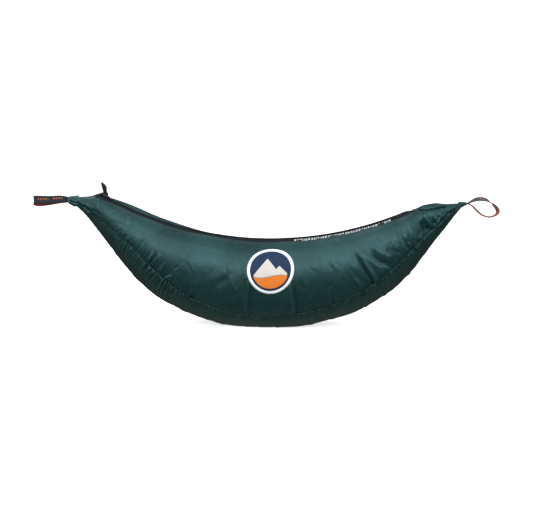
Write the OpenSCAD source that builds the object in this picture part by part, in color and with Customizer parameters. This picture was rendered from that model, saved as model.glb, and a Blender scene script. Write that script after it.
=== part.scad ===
// Packed camp quilt: an insulated quilt stuffed in its own crescent-shaped
// zip bag. The bag has a front, a back and a bottom panel, a coil zip along
// its concave top edge, a printed badge, and a webbing loop at each tip.
// Millimetres, +X along the bag, +Y to the back, +Z up, standing on z = 0.

/* [Bag] */
// Thickness of the bag's shell panels
panel_t = 1.2; // [1:0.1:2]
// Squareness of the stuffed cross-section (2 is an ellipse)
fullness = 2.25; // [2:0.05:2.6]
// How far the front panel swells above the zip tape
front_swell = 2; // [0:0.5:3]

/* [Zip] */
// Radius of the arc that the zip lies on
zip_r = 555; // [540:5:570]
// Lowest height of the zip above the ground
zip_low = 138; // [136:1:140]
// Width of one zip tape
tape_w = 10.4; // [9:0.2:11]
// Thickness of the zip tape
tape_t = 0.6; // [0.5:0.1:0.8]
// Height of one coil above its tape
coil_h = 1.8; // [1.4:0.1:2]
// Arc angle of the closed end, from straight down
zip_a0 = -29.4; // [-29.6:0.1:-29.2]
// Arc angle of the open end, from straight down
zip_a1 = 25.2; // [24.8:0.1:25.6]
// Arc angle at which the slider stands
slider_a = -28.2; // [-28.2:0.1:20]

/* [Puller] */
// Length of the puller from its pivot pin
puller_len = 18.5; // [15:0.5:20]
// Lean of the puller from upright, to the left
puller_lean = 14; // [0:1:20]

/* [Webbing loops] */
// Width of the webbing
web_w = 13; // [12:0.5:15]
// Thickness of the webbing
web_t = 1.2; // [1:0.1:1.6]
// Length of the left loop
left_len = 54; // [48:1:58]

/* [Badge] */
// Radius of the round badge
badge_r = 37; // [34:1:38]
// Centre of the badge along the bag
badge_x = 17; // [12:1:22]

/* [Hidden] */

shell_green = [0.13, 0.30, 0.30];
gusset_green = [0.15, 0.22, 0.18];
tape_grey = [0.13, 0.17, 0.20];
black_metal = [0.06, 0.06, 0.07];
navy = [0.14, 0.17, 0.28];
orange = [0.98, 0.54, 0.20];
off_white = [0.96, 0.95, 0.92];

zip_cx = 6;
zip_cz = zip_low + zip_r;
left_end = -300;     // where the panels run into the left gather
right_end = 312;     // where the panels run into the right gather

// Profile of the bag: x, bottom, half width, seam height, back swell
P = [
    [-300, 188, 10, 193, 0],
    [-282, 170, 18, 180, 1],
    [-264, 148, 27, 172, 4],
    [-246, 125, 35, 163, 7],
    [-226, 99, 42, 147, 9.5],
    [-201, 71, 49, 128, 10],
    [-171, 45, 55, 98, 8.5],
    [-136, 26, 59, 67, 6],
    [-96, 10, 62, 44, 4],
    [-56, 0, 64, 29, 3],
    [4, -4, 65, 20, 2],
    [64, 0, 64, 28, 2],
    [104, 10, 62, 38, 2],
    [144, 22, 59, 55, 2],
    [179, 41, 55, 77, 2],
    [209, 62, 49, 102, 2],
    [234, 87, 42, 126, 2],
    [254, 113, 34, 147, 1],
    [272, 138, 26, 163, 1],
    [290, 161, 17, 177, 0],
    [304, 180, 10, 189, 0],
    [312, 190, 7, 195, 0]
];
// Top line outside the zip: x, height
TL = [[-300, 204], [-282, 204.5], [-270, 207], [-262, 208]];
TR = [[238, 188.5], [254, 192.5], [272, 196], [290, 198.5], [312, 200.5]];

// ---------- helpers ----------
function clamp(v, a, b) = min(b, max(a, v));
function seg(T, x, i = 0) = (i >= len(T) - 2 || x < T[i + 1][0]) ? i : seg(T, x, i + 1);
function slope(T, i, c) = let(a = max(0, i - 1), b = min(len(T) - 1, i + 1))
    (T[b][c] - T[a][c]) / (T[b][0] - T[a][0]);
// Smooth value of column c of a table at x
function at(T, x, c) = let(i = seg(T, x), d = T[i + 1][0] - T[i][0],
    t = clamp((x - T[i][0]) / d, 0, 1), m0 = slope(T, i, c) * d, m1 = slope(T, i + 1, c) * d)
    (2 * t * t * t - 3 * t * t + 1) * T[i][c] + (t * t * t - 2 * t * t + t) * m0
    + (3 * t * t - 2 * t * t * t) * T[i + 1][c] + (t * t * t - t * t) * m1;
function smooth(t) = let(u = clamp(t, 0, 1)) u * u * (3 - 2 * u);
function pw(v) = sign(v) * pow(abs(v), 2 / fullness);

// Height of the zip's mid line at x
function arc_z(x) = zip_cz - sqrt(zip_r * zip_r - (x - zip_cx) * (x - zip_cx));
function top_z(x) = x < -262 ? at(TL, x, 1) : x <= 236 ? arc_z(x) : at(TR, max(x, 238), 1);
// Half gap between the front and back panels along the top
function lip_y(x) = 0.4 + 7.6 * smooth((x + 280) / 10) * smooth((254 - x) / 9);
function mid_z(x) = (top_z(x) + at(P, x, 1)) / 2;
function half_h(x) = (top_z(x) - at(P, x, 1)) / 2;
// Angle from the top at which the side panels meet the bottom panel
function seam_a(x) = let(c = clamp((at(P, x, 3) - mid_z(x)) / half_h(x), -0.9, 0.6),
    k = sign(c) * pow(abs(c), fullness / 2)) acos(k);
function swell(x, a, s) = let(m = s > 0 ? at(P, x, 4) : front_swell * smooth(at(P, x, 2) / 40),
    u = clamp((a - 10) / 65, 0, 1)) m * sin(180 * pow(u, 0.7));
// Point of the bag's outer surface at x, angle a from the top, side s (-1 front)
function skin(x, a, s) = [x, s * at(P, x, 2) * pw(sin(a)),
    max(0, mid_z(x) + half_h(x) * pw(cos(a)) + swell(x, a, s))];
// The same point moved d towards the middle of the section
function inward(p, d) = let(c = [p[0], 0, mid_z(p[0])], v = c - p)
    let(q = p + v * (d / norm(v))) [q[0], q[1], p[2] < d ? max(p[2] + d, q[2]) : q[2]];

// A closed sheet between two grids of points of the same size
module thick_sheet(A, B) {
    n = len(A);
    m = len(A[0]);
    k = n * m;
    pts = concat([for (r = A) for (p = r) p], [for (r = B) for (p = r) p]);
    function id(j, i, o) = o * k + j * m + i;
    polyhedron(points = pts, faces = concat(
        [for (j = [0:n - 2]) for (i = [0:m - 2]) [id(j, i, 0), id(j, i + 1, 0), id(j + 1, i + 1, 0)]],
        [for (j = [0:n - 2]) for (i = [0:m - 2]) [id(j, i, 0), id(j + 1, i + 1, 0), id(j + 1, i, 0)]],
        [for (j = [0:n - 2]) for (i = [0:m - 2]) [id(j, i, 1), id(j + 1, i + 1, 1), id(j, i + 1, 1)]],
        [for (j = [0:n - 2]) for (i = [0:m - 2]) [id(j, i, 1), id(j + 1, i, 1), id(j + 1, i + 1, 1)]],
        [for (j = [0:n - 2]) [id(j, 0, 0), id(j + 1, 0, 0), id(j + 1, 0, 1)]],
        [for (j = [0:n - 2]) [id(j, 0, 0), id(j + 1, 0, 1), id(j, 0, 1)]],
        [for (j = [0:n - 2]) [id(j, m - 1, 0), id(j + 1, m - 1, 1), id(j + 1, m - 1, 0)]],
        [for (j = [0:n - 2]) [id(j, m - 1, 0), id(j, m - 1, 1), id(j + 1, m - 1, 1)]],
        [for (i = [0:m - 2]) [id(0, i, 0), id(0, i + 1, 1), id(0, i + 1, 0)]],
        [for (i = [0:m - 2]) [id(0, i, 0), id(0, i, 1), id(0, i + 1, 1)]],
        [for (i = [0:m - 2]) [id(n - 1, i, 0), id(n - 1, i + 1, 0), id(n - 1, i + 1, 1)]],
        [for (i = [0:m - 2]) [id(n - 1, i, 0), id(n - 1, i + 1, 1), id(n - 1, i, 1)]]), convexity = 8);
}

// Stations along the bag, closer together towards the tips
function stations(n) = [for (i = [0:n]) let(t = -1 + 2 * i / n)
    (left_end + right_end) / 2 + (right_end - left_end) / 2 * (1.25 * t - 0.25 * t * t * t)];
XS = stations(30);

// Rows of a side panel: two under the tape's edge, the rest round the side
SIDE_ROWS = 7;
function side_row(x, s) = let(y0 = lip_y(x), w = at(P, x, 2), z = top_z(x) - 0.8,
    y1 = min(y0 + 3.8, w * 0.5), y2 = min(y0 + 5.5, w * 0.62),
    a0 = asin(pow(clamp(y2 / w, 0, 1), fullness / 2)), a1 = seam_a(x) - 0.25)
    concat([[x, s * y0, z], [x, s * y1, z]],
        [for (i = [0:SIDE_ROWS - 1]) skin(x, a0 + (a1 - a0) * i / (SIDE_ROWS - 1), s)]);
module side_panel(s) {
    A = [for (x = XS) side_row(x, s)];
    B = [for (r = A) [for (p = r) inward(p, panel_t)]];
    if (s > 0) thick_sheet(A, B); else thick_sheet(B, A);
}
module front_side_panel() { color(shell_green) side_panel(-1); }
module back_side_panel() { color(shell_green) side_panel(1); }
module bottom_panel() {
    A = [for (x = XS) let(a = seam_a(x) + 0.25) [for (i = [0:10])
        let(q = a + (360 - 2 * a) * i / 10) skin(x, q <= 180 ? q : 360 - q, q <= 180 ? -1 : 1)]];
    B = [for (r = A) [for (p = r) inward(p, panel_t)]];
    color(gusset_green) thick_sheet(B, A);
}

// Bound seam allowance along the inside of a seam
module seam_binding(s) {
    X = [for (i = [0:18]) -280 + 572 * i / 18];
    A = [for (x = X) [for (d = [-7, 0, 7]) inward(skin(x, seam_a(x) + d * 55 / (at(P, x, 2) + 15), s), panel_t + 1.3)]];
    B = [for (r = A) [for (p = r) inward(p, 0.9)]];
    if (s > 0) thick_sheet(A, B); else thick_sheet(B, A);
}
module front_seam_binding() { color(gusset_green) seam_binding(-1); }
module back_seam_binding() { color(gusset_green) seam_binding(1); }

// The three panels' ends bunched into pleats round the webbing
module gather(x0, x1, c0, c1, ry0, ry1, rz0, rz1) {
    n = 5;
    m = 20;
    ring = [for (j = [0:n]) let(t = j / n, b = 1 + 0.10 * sin(180 * t))
        [for (i = [0:m - 1]) let(a = 360 * i / m, k = b * (1 + 0.07 * cos(5 * a)))
            [x0 + (x1 - x0) * t, k * (ry0 + (ry1 - ry0) * t) * cos(a),
             c0 + (c1 - c0) * t + k * (rz0 + (rz1 - rz0) * t) * sin(a)]]];
    polyhedron(points = [for (r = ring) for (p = r) p], faces = concat(
        [[for (i = [0:m - 1]) i]],
        [[for (i = [m - 1:-1:0]) n * m + i]],
        [for (j = [0:n - 1]) for (i = [0:m - 1]) [j * m + i, (j + 1) * m + (i + 1) % m, j * m + (i + 1) % m]],
        [for (j = [0:n - 1]) for (i = [0:m - 1]) [j * m + i, (j + 1) * m + i, (j + 1) * m + (i + 1) % m]]));
}
lt_z = 198.6;   // middle of the left webbing at the gather
rt_z = 198.8;   // middle of the right webbing at the gather
module left_end_gather() {
    color(shell_green) difference() {
        gather(-314.5, -300.4, 198.8, 196.3, 5.2, 8.6, 5.3, 7.4);
        translate([-315.5, -1.7, lt_z - 4.1]) cube([14, 3.4, 8.2]);
    }
}
module right_end_gather() {
    color(shell_green) difference() {
        gather(312.4, 321.5, 196.2, 198.8, 6.4, 4.6, 5.0, 3.4);
        translate([313.5, -3.1, rt_z - 1.7]) cube([9, 6.2, 3.4]);
    }
}
// Webbing ends, folded narrow and sewn into the gathers
module left_webbing_tail() {
    color(navy) translate([-314.4, -1.5, lt_z - 3.9]) cube([12, 3, 7.8]);
}
module right_webbing_tail() {
    color(navy) translate([314.4, -2.9, rt_z - 1.5]) cube([7, 5.8, 3]);
}
// Bar tacks: dense bars of thread across the gathers, front and back
module left_bar_tack() {
    color(navy) for (s = [-1, 1]) translate([-309.5, s * 8.6 - 0.4, 193.5]) cube([1.6, 0.8, 9]);
}
module right_bar_tack() {
    color(navy) for (s = [-1, 1]) translate([316, s * 7.2 - 0.4, 195.5]) cube([1.4, 0.8, 6]);
}

// ---------- zip ----------
// A sector of a ring about the zip's centre: radius offset n (towards the
// centre), thickness h, from y0 to y1 towards the front
module arc_strip(n, h, y0, y1, a0, a1) {
    translate([zip_cx, 0, zip_cz]) rotate([90, 0, 0]) rotate([0, 0, 270 + a0])
        rotate_extrude(angle = a1 - a0, $fn = 240)
            translate([zip_r - n - h, y0]) square([h, y1 - y0]);
}
gap = 0.6;      // half gap between the two tapes
coil_w = 2.8;
module front_zip_tape() { color(tape_grey) arc_strip(-tape_t / 2, tape_t, gap, gap + tape_w, zip_a0, zip_a1); }
module back_zip_tape() { color(tape_grey) arc_strip(-tape_t / 2, tape_t, -gap - tape_w, -gap, zip_a0, zip_a1); }
module front_zip_coil() { color(tape_grey) arc_strip(tape_t / 2 + 0.1, coil_h, gap, gap + coil_w, zip_a0 + 0.4, zip_a1 - 0.9); }
module back_zip_coil() { color(tape_grey) arc_strip(tape_t / 2 + 0.1, coil_h, -gap - coil_w, -gap, zip_a0 + 0.4, zip_a1 - 0.9); }
module zip_top_stops() {
    color(black_metal) {
        arc_strip(tape_t / 2 + 0.1, 3, gap, gap + coil_w, zip_a0 + 0.02, zip_a0 + 0.26);
        arc_strip(tape_t / 2 + 0.1, 3, -gap - coil_w, -gap, zip_a0 + 0.02, zip_a0 + 0.26);
    }
}
module zip_bottom_stop() { color(black_metal) arc_strip(tape_t / 2 + 0.1, 3, -3.4, 3.4, zip_a1 - 0.85, zip_a1 - 0.35); }

// Places a child drawn at the slider: +X along the zip to the right, +Z out of the bag
module at_slider(a = slider_a) {
    translate([zip_cx + zip_r * sin(a), 0, zip_cz - zip_r * cos(a)]) rotate([0, -a, 0]) children();
}
module plate_outline() {
    polygon([[-8, -3.4], [-6.6, -5.2], [-4, -5.7], [3, -5.0], [7, -4.2], [8, -3],
             [8, 3], [7, 4.2], [3, 5.0], [-4, 5.7], [-6.6, 5.2], [-8, 3.4]]);
}
module zip_slider_body() {
    color(black_metal) at_slider() {
        translate([0, 0, 2.7]) linear_extrude(1.4) plate_outline();
        translate([0, 0, -2.4]) linear_extrude(1.4) plate_outline();
        // neck between the two coils
        translate([-7.6, -0.35, -1.1]) cube([4.4, 0.7, 3.9]);
        // side flanges that keep the tapes in
        for (s = [-1, 1]) translate([-4, s > 0 ? 4.3 : -5.1, 0.9]) cube([7, 0.8, 1.9]);
    }
}
pin_x = -1;     // pivot pin in the slider's own axes
pin_z = 6.6;
module zip_slider_bridge() {
    color(black_metal) at_slider() difference() {
        translate([0, 1.2, 0]) rotate([90, 0, 0]) linear_extrude(2.4)
            polygon([[-6, 4.15], [-5.4, 6.2], [-4.2, 8.4], [-2.8, 9.1], [1, 9.1], [2.4, 8.4], [4, 6.2], [5, 4.15]]);
        translate([pin_x, 2, pin_z]) rotate([90, 0, 0]) cylinder(r = 1.35, h = 4, $fn = 48);
    }
}
// Pivot pin in the bag's axes
pin_w = [zip_cx + zip_r * sin(slider_a) + pin_x * cos(slider_a) - pin_z * sin(slider_a), 0,
         zip_cz - zip_r * cos(slider_a) + pin_x * sin(slider_a) + pin_z * cos(slider_a)];
module zip_puller() {
    color(black_metal) translate(pin_w) rotate([0, -puller_lean, 0]) {
        // pin through the bridge
        translate([0, 2.9, 0]) rotate([90, 0, 0]) cylinder(r = 1.05, h = 5.8, $fn = 48);
        // cheeks each side of the bridge
        for (s = [-1, 1]) translate([0, s > 0 ? 2.9 : -1.7, 0]) rotate([90, 0, 0]) linear_extrude(1.2)
            polygon([[-1.9, -0.8], [-0.8, -1.9], [0.8, -1.9], [1.9, -0.8], [3.1, 5.4], [-2.9, 5.4]]);
        // thumb fin
        translate([0, 2.9, 0]) rotate([90, 0, 0]) linear_extrude(5.8)
            polygon([[-2.9, 5.4], [3.1, 5.4], [4, 8], [3.6, 11], [2.2, 14], [0.4, puller_len - 2],
                     [-1.2, puller_len - 0.2], [-2.2, puller_len], [-2.8, puller_len - 0.6], [-3, 12], [-3.1, 8]]);
    }
}

// ---------- webbing loops ----------
// Closed outline of a ribbon that follows centre line L
function dir(L, i) = let(v = L[min(i + 1, len(L) - 1)] - L[max(i - 1, 0)]) v / norm(v);
function off(L, i, d) = let(t = dir(L, i)) L[i] + [-t[1], t[0]] * d;
function ribbon(L, t) = concat([for (i = [0:len(L) - 1]) off(L, i, t / 2)],
    [for (i = [len(L) - 1:-1:0]) off(L, i, -t / 2)]);
// Left loop: seen from above, two layers that spread to a rounded end
module left_webbing_loop() {
    x0 = -317.5;
    xe = x0 - left_len + 6;
    L = concat(
        [for (i = [0:7]) let(t = i / 7) [x0 - 1.0 + (xe - x0 + 1) * t, 0.85 + 4.4 * smooth(t * 1.1)]],
        [for (i = [1:9]) let(a = 90 + 18 * i) [xe + 5.6 * cos(a), 5.25 * sin(a)]],
        [for (i = [7:-1:0]) let(t = i / 7) [x0 - 1.0 + (xe - x0 + 1) * t, -0.85 - 4.4 * smooth(t * 1.1)]]);
    color(navy) translate([0, 0, lt_z - web_w / 2]) {
        linear_extrude(web_w) polygon(ribbon(L, web_t));
        // the stitched root that joins the two layers
        translate([x0 - 3, -1.5, 0]) cube([3, 3, web_w]);
    }
}
// Right loop: a standing teardrop seen edge-on from the front
RL = [[327.2, 200.2], [331, 203], [336, 205.3], [342, 206.4], [348, 206.3], [354, 204.4],
      [360, 200.6], [365, 196.4], [369, 192], [371.6, 188.4], [371.8, 186], [369.4, 182.6], [365, 179.6],
      [359, 177.9], [353, 178.5], [347, 180.9], [342, 184.3], [337, 189], [332, 194.4], [328.2, 197.6]];
module right_webbing_loop() {
    color(navy) translate([0, web_w / 2, 0]) rotate([90, 0, 0]) {
        linear_extrude(web_w) polygon(ribbon(RL, web_t));
        translate([324.2, rt_z - 1.5]) linear_extrude(web_w) square([3.4, 3]);
    }
}

// ---------- badge ----------
badge_a = 68;       // angle from the top at the badge's centre
// Length along the front panel's section against angle from the top
WALK = [for (i = 0, q = skin(badge_x, 16, -1), p = q, l = 0; i <= 60;
    i = i + 1, q = skin(badge_x, 16 + 2 * i, -1), l = l + norm(q - p), p = q) [l, 16 + 2 * i]];
function walk_at(a) = lookup(a, [for (w = WALK) [w[1], w[0]]]);
// Point at (u, v) on the badge, d proud of the front panel
function on_badge(u, v, d) = inward(skin(badge_x + u, lookup(walk_at(badge_a) - v, WALK), -1), -d);
// Disc of radius r as a grid, by squeezing a square
function disc_grid(r, n, d) = [for (j = [0:n]) [for (i = [0:n])
    let(a = -1 + 2 * i / n, b = -1 + 2 * j / n)
    on_badge(r * a * sqrt(1 - b * b / 2), r * b * sqrt(1 - a * a / 2), d)]];
module badge_disc(r, d0, d1, n = 10) { thick_sheet(disc_grid(r, n, d0), disc_grid(r, n, d1)); }
function horizon(u) = -10 + 2.2 * sin(u * 6);
function peaks(u) = max(horizon(u) + 0.8, 19 - 1.25 * abs(u + 5), 7 - 1.0 * abs(u - 14));
module band(lo, hi, umax, d0, d1) {
    n = 16;
    function g(d) = [for (j = [0:3]) [for (i = [0:n]) let(u = -umax + 2 * umax * i / n,
        a = lo[i], b = hi[i]) on_badge(u, a + (b - a) * j / 3, d)]];
    thick_sheet(g(d0), g(d1));
}
pic_r = badge_r * 0.78;
function cols(um) = [for (i = [0:16]) -um + 2 * um * i / 16];
module badge_film() { color(off_white) badge_disc(badge_r, 0.3, 0.6); }
module badge_field() { color(navy) badge_disc(badge_r * 0.87, 0.95, 1.15); }
module badge_peaks() {
    um = pic_r * 0.88;
    color(off_white) band([for (u = cols(um)) horizon(u) + 0.3],
        [for (u = cols(um)) min(peaks(u), sqrt(pic_r * pic_r - u * u))], um, 1.5, 1.7);
}
module badge_ground() {
    um = pic_r * 0.88;
    color(orange) band([for (u = cols(um)) -sqrt(pic_r * pic_r - u * u)],
        [for (u = cols(um)) horizon(u) - 0.3], um, 1.5, 1.7);
}

// ---------- quilt ----------
// The quilt lies in the bag folded lengthwise into four runs. Its section is
// a serpentine strip in a unit square, squeezed into the bag's round section.
function turn(cx, cy, a0, a1, n) = [for (i = [0:n]) let(a = a0 + (a1 - a0) * i / n) [cx + 0.25 * cos(a), cy + 0.25 * sin(a)]];
FOLD = concat([[0.92, -0.75], [0.45, -0.75], [0, -0.75]],
    turn(-0.5, -0.5, 270, 90, 6), [[0, -0.25]],
    turn(0.5, 0, -90, 90, 6), [[0, 0.25]],
    turn(-0.5, 0.5, 270, 90, 6), [[0, 0.75], [0.45, 0.75], [0.92, 0.75]]);
QX = [for (i = [0:13]) -258 + 524 * i / 13];
function q_point(x, p) = let(w = at(P, x, 2) - 6, t = top_z(x) - 7, b = max(at(P, x, 1), 0) + 5)
    [x, w * p[0] * sqrt(1 - p[1] * p[1] / 2), (t + b) / 2 + (t - b) / 2 * p[1] * sqrt(1 - p[0] * p[0] / 2)];
module quilt_layer(d0, d1) {
    function g(d) = [for (x = QX) [for (i = [0:len(FOLD) - 1]) q_point(x, off(FOLD, i, d))]];
    thick_sheet(g(d1), g(d0));
}
module quilt_face_fabric() { color([0.10, 0.12, 0.18]) quilt_layer(0.205, 0.225); }
module quilt_insulation() { color([0.92, 0.92, 0.90]) quilt_layer(-0.195, 0.195); }
module quilt_lining() { color([0.55, 0.57, 0.60]) quilt_layer(-0.225, -0.205); }

front_side_panel();
back_side_panel();
bottom_panel();
front_seam_binding();
back_seam_binding();
left_end_gather();
right_end_gather();
front_zip_tape();
back_zip_tape();
front_zip_coil();
back_zip_coil();
zip_top_stops();
zip_bottom_stop();
zip_slider_body();
zip_slider_bridge();
zip_puller();
left_webbing_tail();
right_webbing_tail();
left_webbing_loop();
right_webbing_loop();
left_bar_tack();
right_bar_tack();
badge_film();
badge_field();
badge_peaks();
badge_ground();
quilt_face_fabric();
quilt_insulation();
quilt_lining();
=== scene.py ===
import math
import bpy
import numpy as np
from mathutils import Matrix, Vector
from mathutils.bvhtree import BVHTree
from mathutils.kdtree import KDTree


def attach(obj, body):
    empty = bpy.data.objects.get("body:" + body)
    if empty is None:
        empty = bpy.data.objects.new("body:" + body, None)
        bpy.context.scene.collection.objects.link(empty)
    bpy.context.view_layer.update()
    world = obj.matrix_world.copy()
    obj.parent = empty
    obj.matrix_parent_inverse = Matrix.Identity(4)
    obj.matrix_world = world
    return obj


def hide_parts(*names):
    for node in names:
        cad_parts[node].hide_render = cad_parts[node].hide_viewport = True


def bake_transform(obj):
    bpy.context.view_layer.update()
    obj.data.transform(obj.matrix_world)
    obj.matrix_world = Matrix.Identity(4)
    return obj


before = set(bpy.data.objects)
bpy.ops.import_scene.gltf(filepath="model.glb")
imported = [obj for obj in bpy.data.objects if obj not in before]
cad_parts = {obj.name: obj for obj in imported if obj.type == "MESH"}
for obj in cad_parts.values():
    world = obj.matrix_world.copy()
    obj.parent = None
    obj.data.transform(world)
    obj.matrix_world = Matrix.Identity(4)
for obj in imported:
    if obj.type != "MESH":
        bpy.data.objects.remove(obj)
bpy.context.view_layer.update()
MM = 0.001
scene = bpy.context.scene
scene.view_settings.view_transform = "Standard"
# soft light by height, from straight down to straight up: in front of the object and behind it
BELOW = [(-1.0, (0.46, 0.50, 0.41)), (-0.6, (0.10, 0.105, 0.095)), (-0.15, (0.10, 0.10, 0.10)), (0.15, (0.11, 0.11, 0.11))]
SKY_FRONT = BELOW + [(0.42, (2.75, 2.75, 2.75)), (0.7, (1.70, 1.70, 1.70)), (1.0, (0.05, 0.05, 0.05))]
SKY_BACK = BELOW + [(0.42, (0.22, 0.22, 0.22)), (0.7, (0.40, 0.40, 0.40)), (1.0, (0.05, 0.05, 0.05))]

# ------------------------------------------------------------------ camera
AZ, EL, DIST = math.radians(5), math.radians(8), 2.6
aim = Vector((0.007, 0.0, 0.117))
back = Vector((math.sin(AZ) * math.cos(EL), -math.cos(AZ) * math.cos(EL), math.sin(EL)))
cam = bpy.data.objects.new("camera", bpy.data.cameras.new("camera"))
scene.collection.objects.link(cam)
cam.data.sensor_width = 36
cam.data.lens = 36 * DIST / 0.856
cam.data.clip_start, cam.data.clip_end = 0.05, 60
cam.location = aim + back * DIST
cam.rotation_mode = "QUATERNION"
cam.rotation_quaternion = (-back).to_track_quat("-Z", "Y")
scene.camera = cam


# ------------------------------------------------------------------ node helpers
class Nodes:
    """Small helper that builds a material's nodes."""

    def __init__(self, name):
        self.m = bpy.data.materials.new(name)
        self.m.use_nodes = True
        self.t = self.m.node_tree
        self.t.nodes.clear()
        self.out = self.t.nodes.new("ShaderNodeOutputMaterial")

    def new(self, kind, **kw):
        n = self.t.nodes.new(kind)
        for k, v in kw.items():
            setattr(n, k, v)
        return n

    def link(self, a, b):
        self.t.links.new(a, b)

    def put(self, sock, v):
        if isinstance(v, bpy.types.NodeSocket):
            self.link(v, sock)
        else:
            sock.default_value = v

    def math(self, op, a, b=0.0, c=None, clamp=False):
        n = self.new("ShaderNodeMath", operation=op, use_clamp=clamp)
        self.put(n.inputs[0], a)
        self.put(n.inputs[1], b)
        if c is not None:
            self.put(n.inputs[2], c)
        return n.outputs[0]

    def mix(self, fac, a, b, blend="MIX"):
        n = self.new("ShaderNodeMix", data_type="RGBA", blend_type=blend)
        self.put(n.inputs["Factor"], fac)
        self.put(n.inputs[6], a)
        self.put(n.inputs[7], b)
        return n.outputs[2]

    def ramp(self, fac, stops):
        n = self.new("ShaderNodeValToRGB")
        self.link(fac, n.inputs[0])
        e = n.color_ramp.elements
        while len(e) < len(stops):
            e.new(0.5)
        for i, (p, c) in enumerate(stops):
            e[i].position = p
            e[i].color = c if len(c) == 4 else (*c, 1)
        return n.outputs[0]

    def noise(self, vec, scale, detail=2.0, rough=0.5, dist=0.0):
        n = self.new("ShaderNodeTexNoise")
        self.link(vec, n.inputs["Vector"])
        n.inputs["Scale"].default_value = scale
        n.inputs["Detail"].default_value = detail
        n.inputs["Roughness"].default_value = rough
        n.inputs["Distortion"].default_value = dist
        return n.outputs["Fac"]

    def remap(self, v, a0, a1, b0, b1):
        n = self.new("ShaderNodeMapRange")
        self.link(v, n.inputs[0])
        for i, x in enumerate((a0, a1, b0, b1)):
            n.inputs[i + 1].default_value = x
        return n.outputs[0]

    def bump(self, h, strength, distance, normal=None):
        n = self.new("ShaderNodeBump")
        n.inputs["Strength"].default_value = strength
        n.inputs["Distance"].default_value = distance
        self.link(h, n.inputs["Height"])
        if normal is not None:
            self.link(normal, n.inputs["Normal"])
        return n.outputs[0]

    def attr(self, name):
        return self.new("ShaderNodeAttribute", attribute_name=name).outputs["Fac"]

    def uv(self):
        s = self.new("ShaderNodeSeparateXYZ")
        self.link(self.new("ShaderNodeUVMap").outputs[0], s.inputs[0])
        return s.outputs[0], s.outputs[1]

    def obj(self):
        return self.new("ShaderNodeTexCoord").outputs["Object"]

    def principled(self, color, rough, normal=None, **kw):
        p = self.new("ShaderNodeBsdfPrincipled")
        self.put(p.inputs["Base Color"], color)
        self.put(p.inputs["Roughness"], rough)
        if normal is not None:
            self.link(normal, p.inputs["Normal"])
        for k, v in kw.items():
            p.inputs[k].default_value = v
        self.link(p.outputs[0], self.out.inputs[0])
        return self.m


def srgb(r, g, b):
    def f(c):
        c /= 255
        return c / 12.92 if c <= 0.04045 else ((c + 0.055) / 1.055) ** 2.4
    return (f(r), f(g), f(b), 1.0)


def grid_lines(N, u, cell, power):
    """1 on thin lines every cell along u (u in hundredths of a metre), else 0."""
    s = N.math("SINE", N.math("MULTIPLY", u, math.pi * 0.1 / cell))
    return N.math("POWER", N.math("ABSOLUTE", s), power)


def ripstop(name, base, crest, cell=0.0033, rough=0.34, sheen=0.0, spec=0.40):
    """Ripstop nylon: a fine plain weave with a grid of thicker yarns, faint blotches, and painted light from the relief
    attribute: a painted highlight on raised crests and painted shade in grooves and seam valleys. UVs are in tenths of
    a metre.
    """
    N = Nodes(name)
    u, v = N.uv()
    o = N.obj()
    lines = N.math("MAXIMUM", grid_lines(N, u, cell, 26), grid_lines(N, v, cell, 26))
    weave = N.math("MULTIPLY", grid_lines(N, u, 0.00055, 1.0), grid_lines(N, v, 0.00055, 1.0))
    big = N.noise(o, 14.0, 3.0, 0.55)
    fine = N.noise(o, 90.0, 3.0, 0.6)
    crinkle = N.noise(o, 260.0, 4.0, 0.62, 0.6)
    crest_f = N.remap(N.attr("relief"), -1.0, 1.0, 0.0, 1.0)
    c = N.mix(N.remap(big, 0.3, 0.7, 0.0, 1.0), base, tuple(x * 0.80 for x in base[:3]) + (1,))
    # painted highlight: raised crests (high relief) are drawn towards the lighter crest colour
    c = N.mix(N.remap(crest_f, 0.55, 0.95, 0.0, 0.55), c, crest)
    # painted shade: grooves, creases and seam valleys (low relief) are drawn darker
    c = N.mix(N.remap(crest_f, 0.45, 0.15, 0.0, 0.45), c, tuple(x * 0.55 for x in base[:3]) + (1,))
    c = N.mix(N.math("MULTIPLY", lines, 0.22), c, crest)
    c = N.mix(N.remap(fine, 0.35, 0.75, 0.0, 0.16), c, crest)
    r = N.math("ADD", N.remap(fine, 0.3, 0.7, rough - 0.05, rough + 0.07), N.math("MULTIPLY", lines, 0.05))
    h = N.math("ADD", N.math("MULTIPLY", lines, 0.7), N.math("MULTIPLY", weave, 0.25))
    n1 = N.bump(h, 0.35, 0.00012)
    n2 = N.bump(crinkle, 0.42, 0.0006, n1)
    return N.principled(c, r, n2, **{"Sheen Weight": sheen, "Sheen Roughness": 0.35, "Sheen Tint": (0.6, 0.95, 1.0, 1), "Specular IOR Level": spec, "Specular Tint": (0.50, 0.94, 1.0, 1)})


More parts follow.
